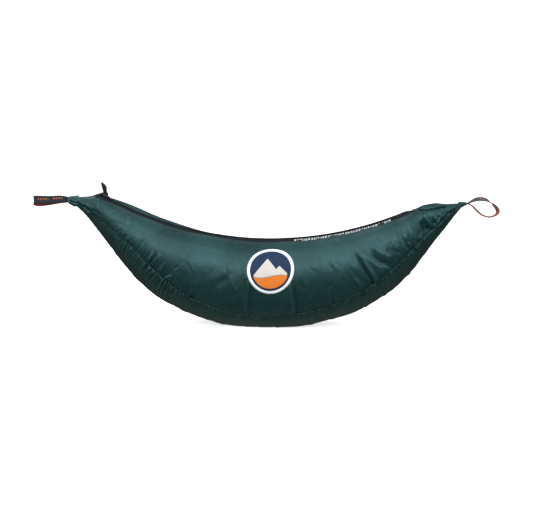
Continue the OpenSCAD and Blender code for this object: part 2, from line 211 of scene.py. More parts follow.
def webbing(name, base, alt, deco=None):
    """Narrow woven webbing, with an optional row of woven dashes where the mesh says."""
    N = Nodes(name)
    u, v = N.uv()
    o = N.obj()
    a = N.math("SINE", N.math("ADD", N.math("MULTIPLY", u, 2 * math.pi * 0.1 / 0.0013), N.math("MULTIPLY", v, 2 * math.pi * 0.1 / 0.0016)))
    b = N.math("SINE", N.math("SUBTRACT", N.math("MULTIPLY", u, 2 * math.pi * 0.1 / 0.0013), N.math("MULTIPLY", v, 2 * math.pi * 0.1 / 0.0016)))
    h = N.math("MAXIMUM", a, b)
    c = N.mix(N.remap(h, -0.2, 1.0, 0.0, 1.0), alt, base)
    c = N.mix(N.remap(N.noise(o, 160.0, 3.0), 0.35, 0.75, 0.0, 0.3), c, tuple(min(1, x * 1.7) for x in base[:3]) + (1,))
    if deco is not None:
        # short bars of contrast yarn along the strap's middle
        bars = N.math("GREATER_THAN", N.math("SINE", N.math("MULTIPLY", u, 2 * math.pi * 0.1 / 0.0042)), -0.15)
        long_gap = N.math("GREATER_THAN", N.math("SINE", N.math("MULTIPLY", u, 2 * math.pi * 0.1 / 0.0231)), -0.72)
        rows = N.math("LESS_THAN", N.math("ABSOLUTE", N.math("SUBTRACT", v, 0.012)), 0.0155)
        f = N.math("MULTIPLY", N.math("MULTIPLY", bars, long_gap), N.math("MULTIPLY", rows, N.attr("deco")))
        c = N.mix(N.math("MULTIPLY", f, 0.92), c, N.mix(N.remap(h, -0.2, 1.0, 0.0, 1.0), tuple(x * 0.6 for x in deco[:3]) + (1,), deco))
    r = N.remap(N.noise(o, 400.0, 2.0), 0.3, 0.7, 0.62, 0.78)
    return N.principled(c, r, N.bump(h, 0.5, 0.00018), **{"Sheen Weight": 0.25, "Sheen Roughness": 0.5, "Specular IOR Level": 0.25})


def tape_cloth(name, base, light):
    """Woven zip tape: fine lengthwise herringbone."""
    N = Nodes(name)
    u, v = N.uv()
    o = N.obj()
    zig = N.math("PINGPONG", N.math("MULTIPLY", v, 0.1 / 0.0022), 1.0)
    a = N.math("SINE", N.math("ADD", N.math("MULTIPLY", u, 2 * math.pi * 0.1 / 0.0009), N.math("MULTIPLY", zig, 6.0)))
    c = N.mix(N.remap(a, -1.0, 1.0, 0.0, 0.5), base, light)
    c = N.mix(N.remap(N.noise(o, 60.0, 3.0), 0.35, 0.75, 0.0, 0.35), c, tuple(x * 0.6 for x in base[:3]) + (1,))
    r = N.remap(N.noise(o, 300.0, 2.0), 0.3, 0.7, 0.6, 0.75)
    return N.principled(c, r, N.bump(a, 0.4, 0.0001), **{"Sheen Weight": 0.02, "Sheen Roughness": 0.5, "Specular IOR Level": 0.10})


def plastic(name, base, worn, rough, metallic=0.0, coat=0.0, bump=0.15, scale=220.0, spec=0.5):
    """Moulded plastic or painted metal: faint mottling, wear on the edges, fine surface texture."""
    N = Nodes(name)
    o = N.obj()
    edge = N.new("ShaderNodeNewGeometry").outputs["Pointiness"]
    c = N.mix(N.remap(N.noise(o, scale * 0.6, 4.0, 0.6), 0.4, 0.75, 0.0, 0.35), base, worn)
    c = N.mix(N.remap(edge, 0.52, 0.60, 0.0, 0.7), c, worn)
    r = N.remap(N.noise(o, scale * 2.0, 3.0, 0.6), 0.3, 0.7, rough - 0.04, rough + 0.08)
    return N.principled(c, r, N.bump(N.noise(o, scale * 4.0, 2.0), bump, 0.00012), **{"Metallic": metallic, "Coat Weight": coat, "Coat Roughness": 0.12, "Specular IOR Level": spec})


def print_film(name, base, shade):
    """Heat-bonded print film: faint weave telegraphing through, slight mottling."""
    N = Nodes(name)
    u, v = N.uv()
    o = N.obj()
    lines = N.math("MAXIMUM", grid_lines(N, u, 0.0033, 24), grid_lines(N, v, 0.0033, 24))
    c = N.mix(N.remap(N.noise(o, 70.0, 4.0, 0.6), 0.35, 0.8, 0.0, 0.5), base, shade)
    c = N.mix(N.math("MULTIPLY", lines, 0.15), c, shade)
    r = N.remap(N.noise(o, 240.0, 3.0), 0.3, 0.7, 0.42, 0.55)
    return N.principled(c, r, N.bump(lines, 0.2, 0.00008), **{"Specular IOR Level": 0.06})


def thread(name, base, light):
    N = Nodes(name)
    o = N.obj()
    w = N.new("ShaderNodeTexWave", wave_type="BANDS", bands_direction="DIAGONAL")
    N.link(o, w.inputs["Vector"])
    w.inputs["Scale"].default_value = 900.0
    w.inputs["Distortion"].default_value = 1.5
    c = N.mix(N.remap(w.outputs["Fac"], 0.0, 1.0, 0.0, 1.0), base, light)
    return N.principled(c, N.remap(N.noise(o, 500.0, 2.0), 0.3, 0.7, 0.5, 0.7), N.bump(w.outputs["Fac"], 0.5, 0.0001), **{"Sheen Weight": 0.0, "Specular IOR Level": 0.08})


M = {
    # second colour of each ripstop: the lighter yarn of the grid and the blotches, and also the painted highlight on
    # crests
    "shell": ripstop("shell_ripstop", (0.0070, 0.0290, 0.0292, 1), (0.020, 0.060, 0.062, 1)),
    # bottom panel: the shell fabric drawn slightly lighter and browner, as painted warm bounce light
    "gusset": ripstop("gusset_ripstop", (0.0094, 0.0320, 0.0296, 1), (0.025, 0.064, 0.060, 1), rough=0.38, spec=0.38),
    # lighter copy of the shell fabric for the left neck: a painted highlight
    "neck": ripstop("neck_ripstop_painted_highlight", (0.022, 0.060, 0.066, 1), (0.060, 0.125, 0.135, 1), rough=0.42),
    "tape": tape_cloth("zip_tape", (0.006, 0.010, 0.012, 1), (0.013, 0.019, 0.022, 1)),
    "coil": plastic("zip_coil", (0.010, 0.013, 0.016, 1), (0.030, 0.035, 0.040, 1), 0.42, bump=0.1, spec=0.2),
    "metal": plastic("zip_metal", (0.006, 0.007, 0.009, 1), (0.030, 0.033, 0.038, 1), 0.26, coat=0.6, bump=0.12),
    "puller": plastic("zip_puller", (0.007, 0.007, 0.009, 1), (0.035, 0.035, 0.038, 1), 0.16, coat=1.0, bump=0.05, spec=0.6),
    "web_out": webbing("webbing_outer", (0.016, 0.021, 0.036, 1), (0.007, 0.009, 0.016, 1), deco=(0.55, 0.16, 0.04, 1)),
    "web_in": webbing("webbing_inner", (0.36, 0.085, 0.030, 1), (0.17, 0.035, 0.014, 1)),
    # seam and topstitch thread: its own dark teal, drawn darker still as painted shade of the stitch holes
    "thread": thread("sewing_thread", (0.004, 0.011, 0.011, 1), (0.010, 0.024, 0.024, 1)),
    "thread_tack": thread("tack_thread", (0.010, 0.030, 0.032, 1), (0.030, 0.080, 0.085, 1)),
    "white": print_film("badge_white", (0.85, 0.90, 0.97, 1), (0.72, 0.77, 0.85, 1)),
    "navy": print_film("badge_navy", (0.022, 0.040, 0.088, 1), (0.015, 0.027, 0.062, 1)),
    "cream": print_film("badge_cream", (0.64, 0.62, 0.58, 1), (0.53, 0.50, 0.46, 1)),
    "orange": print_film("badge_orange", (0.74, 0.215, 0.036, 1), (0.60, 0.145, 0.02, 1)),
    "mark": print_film("print_marks", (0.50, 0.52, 0.54, 1), (0.33, 0.36, 0.39, 1)),
    "quilt_face": ripstop("quilt_face", (0.012, 0.016, 0.035, 1), (0.03, 0.04, 0.08, 1)),
    "quilt_fill": print_film("quilt_fill", (0.82, 0.82, 0.80, 1), (0.60, 0.60, 0.58, 1)),
    "quilt_lining": ripstop("quilt_lining", (0.26, 0.28, 0.31, 1), (0.40, 0.42, 0.46, 1)),
}

# ------------------------------------------------------------------ the bag's profile, as the CAD has it (mm)
P = np.array([
    [-300, 188, 10, 193, 0], [-282, 170, 18, 180, 1], [-264, 148, 27, 172, 4], [-246, 125, 35, 163, 7],
    [-226, 99, 42, 147, 9.5], [-201, 71, 49, 128, 10], [-171, 45, 55, 98, 8.5], [-136, 26, 59, 67, 6],
    [-96, 10, 62, 44, 4], [-56, 0, 64, 29, 3], [4, -4, 65, 20, 2], [64, 0, 64, 28, 2], [104, 10, 62, 38, 2],
    [144, 22, 59, 55, 2], [179, 41, 55, 77, 2], [209, 62, 49, 102, 2], [234, 87, 42, 126, 2],
    [254, 113, 34, 147, 1], [272, 138, 26, 163, 1], [290, 161, 17, 177, 0], [304, 180, 10, 189, 0],
    [312, 190, 7, 195, 0]], float)
TL = np.array([[-300, 204], [-282, 204.5], [-270, 207], [-262, 208]], float)
TR = np.array([[238, 188.5], [254, 192.5], [272, 196], [290, 198.5], [312, 200.5]], float)
FULL = 2.25
ZR, ZCX, ZCZ = 555.0, 6.0, 693.0


def at(T, x, c):
    xs, v = T[:, 0], T[:, c]
    x = np.asarray(x, float)
    i = np.clip(np.searchsorted(xs, x, side="right") - 1, 0, len(xs) - 2)
    k = np.arange(len(xs))
    lo, hi = np.maximum(k - 1, 0), np.minimum(k + 1, len(xs) - 1)
    m = (v[hi] - v[lo]) / (xs[hi] - xs[lo])
    d = xs[i + 1] - xs[i]
    t = np.clip((x - xs[i]) / d, 0, 1)
    return (2*t**3 - 3*t**2 + 1)*v[i] + (t**3 - 2*t**2 + t)*m[i]*d + (3*t**2 - 2*t**3)*v[i + 1] + (t**3 - t**2)*m[i + 1]*d


def smooth(t):
    t = np.clip(t, 0, 1)
    return t * t * (3 - 2 * t)


def arc_z(x):
    return ZCZ - np.sqrt(ZR**2 - (np.asarray(x, float) - ZCX)**2)


def top_z(x):
    x = np.asarray(x, float)
    return np.where(x < -262, at(TL, x, 1), np.where(x <= 236, arc_z(np.clip(x, -500, 500)), at(TR, np.maximum(x, 238), 1)))


def pw(v):
    return np.sign(v) * np.abs(v) ** (2 / FULL)


def mid_half(x):
    b, t = at(P, x, 1), top_z(x)
    return (t + b) / 2, (t - b) / 2


def seam_a(x):
    mid, half = mid_half(x)
    c = np.clip((at(P, x, 3) - mid) / half, -0.9, 0.6)
    return np.arccos(np.sign(c) * np.abs(c) ** (FULL / 2))


def skin(x, a, s):
    """Point of the bag's outer surface at x, angle a from the top, side s (-1 front)."""
    mid, half = mid_half(x)
    w = at(P, x, 2)
    m = at(P, x, 4) if s > 0 else 2 * smooth(w / 40)
    u = np.clip((np.degrees(a) - 10) / 65, 0, 1)
    z = mid + half * pw(np.cos(a)) + m * np.sin(np.pi * u**0.7)
    return np.stack(np.broadcast_arrays(x, s * w * pw(np.sin(a)), np.maximum(0, z)), -1)


def open_top(x):
    """1 where the zip lies between the panels, 0 where they meet."""
    return smooth((x + 272) / 9) * smooth((244 - x) / 9)


def crease_bump(x):
    return smooth((x - 240) / 16) * smooth((306 - x) / 36)


def lip_fold(x):
    """How much further the front lip and tape fold down, where the marks are printed (mm)."""
    return 2.6 * smooth((x - 5) / 70) * smooth((224 - x) / 40)


def resample(curve, n, ease=0.0):
    """n points along a polyline, evenly by length."""
    seg = np.linalg.norm(np.diff(curve, axis=0), axis=1)
    s = np.concatenate([[0], np.cumsum(seg)])
    t = np.linspace(0, 1, n)
    return np.stack([np.interp(t * s[-1], s, curve[:, k]) for k in range(3)], 1), s[-1]


NX, NSIDE, NBOT = 641, 69, 69
xx = np.linspace(-301.5, 312.5, 3000)
crowd = 1 + 0.9 * np.exp(-((xx + 172) / 46) ** 4) + 0.9 * np.exp(-((xx - 214) / 46) ** 4) + 0.5 * np.exp(-(xx - 312.5) ** 2 / 900) + 0.5 * np.exp(-(xx + 301.5) ** 2 / 900)
crowd = np.concatenate([[0], np.cumsum((crowd[1:] + crowd[:-1]) / 2)])
XS = np.interp(np.linspace(0, crowd[-1], NX), crowd, xx)


def side_section(x, s, n):
    w = float(at(P, x, 2))
    o = float(open_top(x))
    y0 = 0.35 + 10.3 * o
    drop, reach = 1.3 * (1 - o) + 2.7 * o, 5 * (1 - o) + 14 * o
    if s < 0:
        l = float(smooth((20 - x) / 70) * smooth((x + 262) / 30)) * o
        y0 -= 2.6 * l
        drop += float(lip_fold(x)) * o - 1.3 * l
    a0 = math.asin(min(0.97, (y0 / w) ** (FULL / 2)))
    a = np.linspace(a0, float(seam_a(x)), 160)
    c = skin(np.full(160, x), a, s)
    c[:, 2] -= drop * (1 - smooth((np.abs(c[:, 1]) - y0) / reach))
    # at the right end the back panel folds over the closed lips, to a crease on the front
    b = float(crease_bump(x))
    if b > 0:
        d = np.concatenate([[0], np.cumsum(np.linalg.norm(np.diff(c, axis=0), axis=1))])
        if s < 0:
            f = 1 - smooth(d / 20)
            c[:, 1] -= 8.5 * b * f
            c[:, 2] -= b * (10.0 * (1 - smooth(d / 24)) + 2.0 * np.exp(-(d / 5) ** 2))
        else:
            k = [0, 2.5, 4.5, 8, 12, 18, 26, 34]
            oy = np.interp(d, k, [-8.8, -14.2, -17.2, -15.0, -10.5, -6, -2, 0])
            oz = np.interp(d, k, [-9.3, -6.0, -1.6, 2.8, 4.6, 4.0, 2, 0])
            for _ in range(6):
                for o_ in (oy, oz):
                    o_[1:-1] = 0.25 * o_[:-2] + 0.5 * o_[1:-1] + 0.25 * o_[2:]
            c[:, 1] += b * oy
            c[:, 2] += b * oz
    return resample(c, n)


def bottom_section(x, n):
    a1 = float(seam_a(x))
    q = np.linspace(a1, 2 * math.pi - a1, 220)
    f = skin(np.full(220, x), np.where(q <= math.pi, q, 2 * math.pi - q), -1)
    g = skin(np.full(220, x), np.where(q <= math.pi, q, 2 * math.pi - q), 1)
    c = np.where((q <= math.pi)[:, None], f, g)
    return resample(c, n)


def normals(G):
    du = np.gradient(G, axis=0)
    dv = np.gradient(G, axis=1)
    n = np.cross(du, dv)
    n /= np.maximum(np.linalg.norm(n, axis=2, keepdims=True), 1e-9)
    c = np.stack([G[..., 0], 0 * G[..., 1], mid_half(G[..., 0])[0]], -1)
    return n * np.sign(((G - c) * n).sum(-1).mean())


def blur(F, su, sv):
    """Gaussian blur of a grid of numbers, normalised at the edges."""
    def kern(s):
        r = int(3 * s) + 1
        k = np.exp(-0.5 * (np.arange(-r, r + 1) / s) ** 2)
        return k / k.sum()

    def run(A, k, axis):
        pad = [(0, 0)] * A.ndim
        r = len(k) // 2
        pad[axis] = (r, r)
        B = np.pad(A, pad, mode="edge")
        out = np.zeros_like(A)
        for i, w in enumerate(k):
            sl = [slice(None)] * A.ndim
            sl[axis] = slice(i, i + A.shape[axis])
            out += w * B[tuple(sl)]
        return out
    return run(run(F, kern(su), 0), kern(sv), 1)


# ------------------------------------------------------------------ puckers and folds
def seam_line(s):
    x = np.linspace(-299, 311, 620)
    L = skin(x, seam_a(x), s)
    d = np.concatenate([[0], np.cumsum(np.linalg.norm(np.diff(L, axis=0), axis=1))])
    return L, d


def near_seam(V, s):
    """Length along the seam and distance from it, for each point."""
    L, d = seam_line(s)
    seg = np.diff(L, axis=0)
    l2 = (seg**2).sum(1)
    flat = V.reshape(-1, 3)
    S, D = np.empty(len(flat)), np.empty(len(flat))
    for i in range(0, len(flat), 4000):
        p = flat[i:i + 4000]
        k = ((p[:, None, :] - (L[:-1] + seg / 2)[None]) ** 2).sum(-1).argmin(1)
        best, bs = np.full(len(p), 1e18), np.zeros(len(p))
        for o in (-1, 0, 1):
            q = np.clip(k + o, 0, len(seg) - 1)
            t = ((p - L[q]) * seg[q]).sum(1) / l2[q]
            lo, hi = np.where(q == 0, -5.0, 0.0), np.where(q == len(seg) - 1, 6.0, 1.0)
            t = np.clip(t, lo, hi)
            r = ((p - L[q] - seg[q] * t[:, None]) ** 2).sum(1)
            m = r < best
            best[m], bs[m] = r[m], (d[q] + t * np.sqrt(l2[q]))[m]
        S[i:i + 4000], D[i:i + 4000] = bs, np.sqrt(best)
    return S.reshape(V.shape[:2]), D.reshape(V.shape[:2])


# how strongly the seam thread gathers the cloth: x, amount
GATHER_FRONT = np.array([[-300, .6], [-262, .5], [-238, .5], [-220, 1.0], [-190, 1.25], [-150, 1.2], [-128, .8], [-108, .9], [-90, .5], [-40, .5], [0, .45], [50, .6], [75, .8], [110, 1.0], [135, .8], [165, 1.05], [200, 1.2], [245, 1.2], [285, .8], [312, .5]])
GATHER_BACK = np.array([[-300, .5], [-240, .7], [-190, 1.0], [-140, .7], [-90, .9], [-30, .5], [20, .8], [80, .6], [130, 1.0], [190, .8], [240, 1.1], [290, .6], [312, .4]])


def pucker_list(seed, table, s):
    """Puckers of one seam: place, height, half width, length on the panel and on the gusset, slant, groove side."""
    rng = np.random.default_rng(seed)
    L, d = seam_line(s)
    out, pos = [], 3.0
    while pos < d[-1] - 3:
        x = np.interp(pos, d, L[:, 0])
        e = np.interp(x, table[:, 0], table[:, 1])
        k = 1.0 + 0.9 * (rng.random() < 0.20)
        a = e * rng.uniform(0.5, 1.3) * (0.85 + 0.15 * k)
        out.append((pos, a * rng.uniform(0.5, 1.3), 1.7 * a, rng.uniform(1.1, 1.9) * (0.8 + 0.2 * k),
                    rng.uniform(8, 20) * (0.55 + 0.5 * e) * (0.65 + 0.35 * k), rng.uniform(9, 20) * (0.5 + 0.5 * e) * (0.7 + 0.3 * k),
                    rng.uniform(-0.30, 0.30), rng.choice([-1.0, 1.0]), rng.uniform(0, 6.28), rng.uniform(-0.012, 0.012)))
        pos += rng.uniform(3.4, 7.2) * (1.5 - 0.5 * min(e, 1.1))
    pos = 4.0
    while pos < d[-1] - 4:     # thin, sharp ones, drawn up by the stitches
        x = np.interp(pos, d, L[:, 0])
        e = np.interp(x, table[:, 0], table[:, 1])
        a = min(e, 1.05) * rng.uniform(0.55, 1.15)
        out.append((pos, a * rng.uniform(0.2, 0.9), 1.7 * a, rng.uniform(0.7, 1.0), rng.uniform(5, 13) * (0.5 + 0.5 * e), rng.uniform(8, 17) * (0.5 + 0.5 * e),
                    rng.uniform(-0.22, 0.22), rng.choice([-1.0, 1.0]), rng.uniform(0, 6.28), rng.uniform(-0.02, 0.02)))
        pos += rng.uniform(3.2, 6.4)
    pos = 4.0
    while pos < d[-1] - 4:     # close, nearly parallel gathers where the thread draws hardest
        x = np.interp(pos, d, L[:, 0])
        e = np.interp(x, table[:, 0], table[:, 1])
        e = smooth((e - 0.72) / 0.4)
        if e > 0.02:
            a = e * rng.uniform(0.75, 1.35) * (1 + 0.5 * float(smooth((-105 - x) / 30)))
            q = float(smooth((-105 - x) / 30))
            out.append((pos, a * rng.uniform(0.1, 0.5), 2.0 * a, rng.uniform(0.85, 1.15) * (1 + 0.25 * q), rng.uniform(4, 11), rng.uniform(13, 27) * (1 + 0.5 * q),
                        rng.uniform(-0.10, 0.10), -1.0, rng.uniform(0, 6.28), rng.uniform(-0.006, 0.006)))
        pos += rng.uniform(3.5, 5.2)
    return out


def pucker_field(S, D, puckers, sign):
    """sign +1 on the side panel, -1 on the gusset, so that a pucker runs straight across the seam."""
    F = np.zeros(S.shape)
    for pos, ap, ag, w, lp, lg, slant, side, ph, bend in puckers:
        ln, amp, foot = (lp, ap, 0.5) if sign > 0 else (lg, ag, 0.15)
        m = (np.abs(S - pos) < 26) & (D < ln)
        if not m.any():
            continue
        d = D[m]
        u = (S[m] - pos - slant * d * sign - bend * d * d - 0.35 * np.sin(d / 4.2 + ph)) / (w * (0.85 + d / 30))
        g = np.exp(-np.abs(u) ** 1.5) - 0.85 * np.exp(-((u - 1.55 * side) / 0.85) ** 2)
        F[m] += amp * g * (foot + (1 - foot) * smooth(d / 3.5)) * (1 - smooth(d / ln)) ** 0.9
    return F


def spline(pts, n=48):
    p = np.array(pts, float)
    if len(p) == 2:
        t = np.linspace(0, 1, n)[:, None]
        return p[0] * (1 - t) + p[1] * t
    q = np.vstack([2 * p[0] - p[1], p, 2 * p[-1] - p[-2]])
    out = []
    for i in range(1, len(q) - 2):
        for t in np.linspace(0, 1, n // (len(p) - 1), endpoint=False):
            a, b, c, d = q[i - 1], q[i], q[i + 1], q[i + 2]
            out.append(0.5 * (2 * b + (c - a) * t + (2 * a - 5 * b + 4 * c - d) * t * t + (3 * b - a - 3 * c + d) * t**3))
    out.append(p[-1])
    return np.array(out)


def fold_field(XZ, kind, pts, A, w, taper=0.75):
    """Height of one fold drawn as a line in a side view. + side is to the right of the line's direction."""
    L = spline(pts)
    seg = np.diff(L, axis=0)
    ln = np.linalg.norm(seg, axis=1)
    cum = np.concatenate([[0], np.cumsum(ln)])
    F = np.zeros(XZ.shape[:2])
    lo, hi = L.min(0) - 6 * w, L.max(0) + 6 * w
    m = ((XZ > lo) & (XZ < hi)).all(-1)
    if not m.any():
        return F
    q = XZ[m]
    rel = q[:, None, :] - L[None, :-1, :]
    t = np.clip((rel * seg[None]).sum(-1) / np.maximum(ln**2, 1e-9), 0, 1)
    near = L[None, :-1, :] + t[..., None] * seg[None]
    dist = np.linalg.norm(q[:, None, :] - near, axis=-1)
    k = dist.argmin(1)
    i = np.arange(len(q))
    r = dist[i, k]
    cr = seg[k, 0] * rel[i, k, 1] - seg[k, 1] * rel[i, k, 0]
    r = r * np.where(cr > 0, -1.0, 1.0)
    along = (cum[k] + t[i, k] * ln[k]) / cum[-1]
    e = np.sin(np.pi * np.clip(along, 0.02, 0.98)) ** taper
    if kind == "crease":      # sharp groove with a soft ridge on its + side
        f = -np.exp(-(r / w) ** 2) + 0.95 * np.exp(-((r - 1.9 * w) / (1.35 * w)) ** 2)
    elif kind == "ridge":
        f = np.exp(-np.abs(r / w) ** 1.7) - 0.35 * np.exp(-((r + 2.2 * w) / (1.5 * w)) ** 2)
    elif kind == "step":      # cloth lapping over itself
        f = np.tanh(r / w) * np.exp(-(r / (4 * w)) ** 2)
    else:                     # dent
        f = -np.exp(-(r / w) ** 2)
    F[m] = A * e * f
    return F


# folds of the front panel: kind, line in (x, z), height, half width
FRONT_FOLDS = [
    ("ridge", [(-184, 66), (-173, 76), (-161, 92), (-149, 107)], 1.7, 2.2),
    ("dent", [(-188, 80), (-171, 98), (-163, 110)], 1.6, 2.6),
    ("dent", [(-178, 66), (-164, 84)], 1.4, 2.4),
    ("ridge", [(-203, 96), (-190, 108), (-182, 117)], 1.2, 2.2),
    ("ridge", [(-152, 62), (-143, 76)], 1.2, 2.0),
    ("crease", [(-104, 62), (-111, 48), (-113, 34)], 2.6, 2.2),
    ("dent", [(-70, 66), (-62, 77), (-49, 88)], 1.4, 6.0),
    ("ridge", [(-52, 60), (-48, 75), (-44, 90)], 1.1, 4.0),
    ("dent", [(-92, 82), (-80, 92), (-64, 98)], 1.0, 6.5),
    ("crease", [(-12, 84), (-15, 51), (-19, 12)], 2.1, 2.6),
    ("ridge", [(-38, 58), (-42, 34), (-45, 12)], 1.2, 2.6),
    ("crease", [(52, 84), (56, 52), (61, 20)], 2.3, 2.4),
    ("dent", [(112, 79), (111, 72)], 1.3, 2.0),
    ("crease", [(110, 66), (115, 52), (119, 36)], 1.5, 2.0),
    ("ridge", [(94, 52), (96, 34)], 1.2, 1.8),
    ("ridge", [(30, 44), (31, 18)], 0.9, 2.0),
    ("crease", [(189, 58), (177, 80), (162, 103), (147, 127)], 3.6, 3.1),
    ("ridge", [(154, 132), (170, 116), (188, 102), (205, 95)], 2.8, 4.6),
    ("dent", [(170, 124), (186, 112), (205, 105)], 1.3, 4.0),
    ("ridge", [(168, 138), (193, 123), (211, 116)], 1.3, 4.6),
    ("ridge", [(143, 90), (154, 79), (164, 68)], 1.6, 2.6),
    ("dent", [(136, 92), (148, 80), (158, 66)], 1.0, 3.4),
    ("ridge", [(231, 176), (234, 160), (238, 147), (247, 138)], 4.8, 6.4),
    ("dent", [(215, 174), (218, 154), (229, 137)], 1.4, 4.0),
    ("ridge", [(222, 170), (222, 156), (228, 144)], 0.9, 2.0),
    ("dent", [(250, 176), (258, 164), (265, 155), (271, 148)], 6.2, 5.6),
    ("ridge", [(252, 184), (264, 172), (275, 161)], 4.2, 2.5),
    ("dent", [(262, 180), (268, 172), (275, 168)], 2.8, 2.3),
    ("ridge", [(268, 186), (274, 177), (279, 168)], 2.2, 2.1),
    ("crease", [(287, 180), (281, 170), (274, 160)], 2.2, 1.7),
    ("ridge", [(279, 188), (283, 180), (285, 172)], 1.7, 2.0),
    ("dent", [(288, 192), (293, 184), (299, 187)], 1.3, 2.0),
    ("ridge", [(292, 196), (298, 190), (303, 188)], 0.9, 1.7),
    ("ridge", [(241, 158), (248, 149), (257, 146)], 1.7, 2.2),
    ("dent", [(236, 150), (244, 142), (252, 140)], 1.3, 2.2),
    # long soft creases fanning out of the left neck
    ("ridge", [(-299, 198), (-286, 194), (-268, 186)], 1.3, 2.2),
    ("dent", [(-298, 194), (-284, 187), (-270, 176)], 1.4, 2.0),
    ("ridge", [(-294, 190), (-282, 180), (-270, 166)], 1.4, 1.9),
    ("crease", [(-291, 201), (-286, 194), (-288, 186)], 1.2, 1.6),
    ("crease", [(-280, 200), (-277, 193), (-280, 184)], 1.0, 1.6),
    ("dent", [(-276, 190), (-268, 184), (-258, 182)], 0.8, 2.2),
    ("ridge", [(-240, 176), (-222, 170), (-204, 168)], 0.9, 3.2),
    ("dent", [(-232, 168), (-212, 163), (-196, 163)], 0.7, 3.0),
]
BACK_FOLDS = [
    ("crease", [(-150, 60), (-158, 88), (-170, 118)], 2.2, 2.8),
    ("ridge", [(-205, 100), (-188, 118), (-170, 132)], 1.6, 3.2),
    ("dent", [(-118, 52), (-112, 74), (-110, 92)], 1.5, 3.6),
    ("crease", [(-62, 36), (-66, 66), (-60, 92)], 2.2, 2.6),
    ("ridge", [(-20, 30), (-16, 56), (-22, 80)], 1.4, 3.0),
    ("dent", [(20, 34), (26, 60), (22, 84)], 1.6, 3.4),
    ("crease", [(70, 36), (64, 62), (70, 92)], 2.0, 2.6),
    ("ridge", [(112, 48), (104, 74), (92, 98)], 1.6, 3.2),
    ("crease", [(150, 66), (164, 92), (186, 116)], 2.6, 3.0),
    ("ridge", [(196, 96), (210, 118), (232, 140)], 1.9, 4.0),
    ("dent", [(222, 122), (240, 146), (252, 160)], 1.8, 3.4),
    ("ridge", [(246, 142), (262, 160), (276, 176)], 1.6, 3.0),
    ("dent", [(-262, 168), (-276, 180), (-290, 190)], 1.0, 2.4),
    ("ridge", [(-230, 130), (-246, 150), (-262, 172)], 1.3, 3.0),
]
# soft lumps of the stuffing: x, z, height, radius
FRONT_LUMPS = [(-86, 122, 2.6, 34), (-190, 152, 2.2, 30), (-232, 176, 1.6, 22), (118, 116, 2.8, 34), (40, 128, 1.4, 26),
               (-30, 66, -1.6, 34), (176, 146, 1.8, 26), (-140, 104, -1.6, 26), (80, 62, -1.4, 30), (215, 150, 1.2, 16), (-20, 118, -1.2, 24)]
BACK_LUMPS = [(-150, 128, 2.4, 34), (-60, 108, 2.4, 30), (40, 112, 2.8, 34), (140, 120, 2.4, 32), (210, 150, 1.6, 22),
              (-215, 160, 1.8, 24), (-100, 70, -1.8, 28), (0, 64, -1.6, 26), (100, 70, -1.8, 28)]


def end_pleats(G, seed, s):
    """Pleats that run out of the bunched ends."""
    rng = np.random.default_rng(seed)
    x = G[..., 0]
    mid = mid_half(x)[0]
    ang = np.arctan2(np.abs(G[..., 1]), G[..., 2] - mid)
    f = np.zeros(x.shape)
    for k in range(7):
        p, n = rng.uniform(0, 6.28), rng.integers(7, 15)
        f += np.cos(n * ang + p + 0.02 * x) / 7 ** 0.5
    left = 0.75 * np.exp(-np.maximum(x + 300, 0) / 13)
    right = 0.6 * np.exp(-np.maximum(311 - x, 0) / 14)
    return f * (left + right)


def cloth_sim(G, pin, grow, frames=18, pressure=3.2, growth=0.05, bend=0.03):
    """Blender's cloth on a grid: the panel's rim is held, the cloth is a little too long and the stuffing presses outwards."""
    n, m, _ = G.shape
    me = bpy.data.meshes.new("sim")
    idx = np.arange(n * m).reshape(n, m)
    quads = np.stack([idx[:-1, :-1], idx[1:, :-1], idx[1:, 1:], idx[:-1, 1:]], -1).reshape(-1, 4)
    N0 = np.cross(G[1:, :-1] - G[:-1, :-1], G[:-1, 1:] - G[:-1, :-1]).reshape(-1, 3)
    if (N0 * normals(G)[:-1, :-1].reshape(-1, 3)).sum() < 0:
        quads = quads[:, ::-1]
    me.from_pydata((G.reshape(-1, 3) * MM).tolist(), [], quads.tolist())
    ob = bpy.data.objects.new("sim", me)
    scene.collection.objects.link(ob)
    gp, gg = ob.vertex_groups.new(name="pin"), ob.vertex_groups.new(name="grow")
    for i, (a, b) in enumerate(zip(pin.ravel().tolist(), grow.ravel().tolist())):
        if a > 0.001:
            gp.add([i], a, "REPLACE")
        if b > 0.001:
            gg.add([i], b, "REPLACE")
    md = ob.modifiers.new("Cloth", "CLOTH")
    st = md.settings
    st.quality = 4
    st.mass = 0.15
    st.tension_stiffness = st.compression_stiffness = 14
    st.shear_stiffness = 6
    st.bending_stiffness = bend
    st.tension_damping = st.compression_damping = 8
    st.use_pressure = True
    st.uniform_pressure_force = pressure
    st.effector_weights.gravity = 0
    st.vertex_group_mass = "pin"
    st.vertex_group_shrink = "grow"
    st.shrink_min, st.shrink_max = 0.0, -growth
    md.collision_settings.use_collision = False
    md.point_cache.frame_start, md.point_cache.frame_end = 1, frames
    for f in range(1, frames + 1):
        scene.frame_set(f)
    dg = bpy.context.evaluated_depsgraph_get()
    ev = ob.evaluated_get(dg).to_mesh()
    co = np.zeros(n * m * 3)
    ev.vertices.foreach_get("co", co)
    bpy.data.objects.remove(ob)
    bpy.data.meshes.remove(me)
    scene.frame_set(1)
    return co.reshape(n, m, 3) / MM


PUCKERS = {-1: pucker_list(11, GATHER_FRONT, -1), 1: pucker_list(12, GATHER_BACK, 1)}


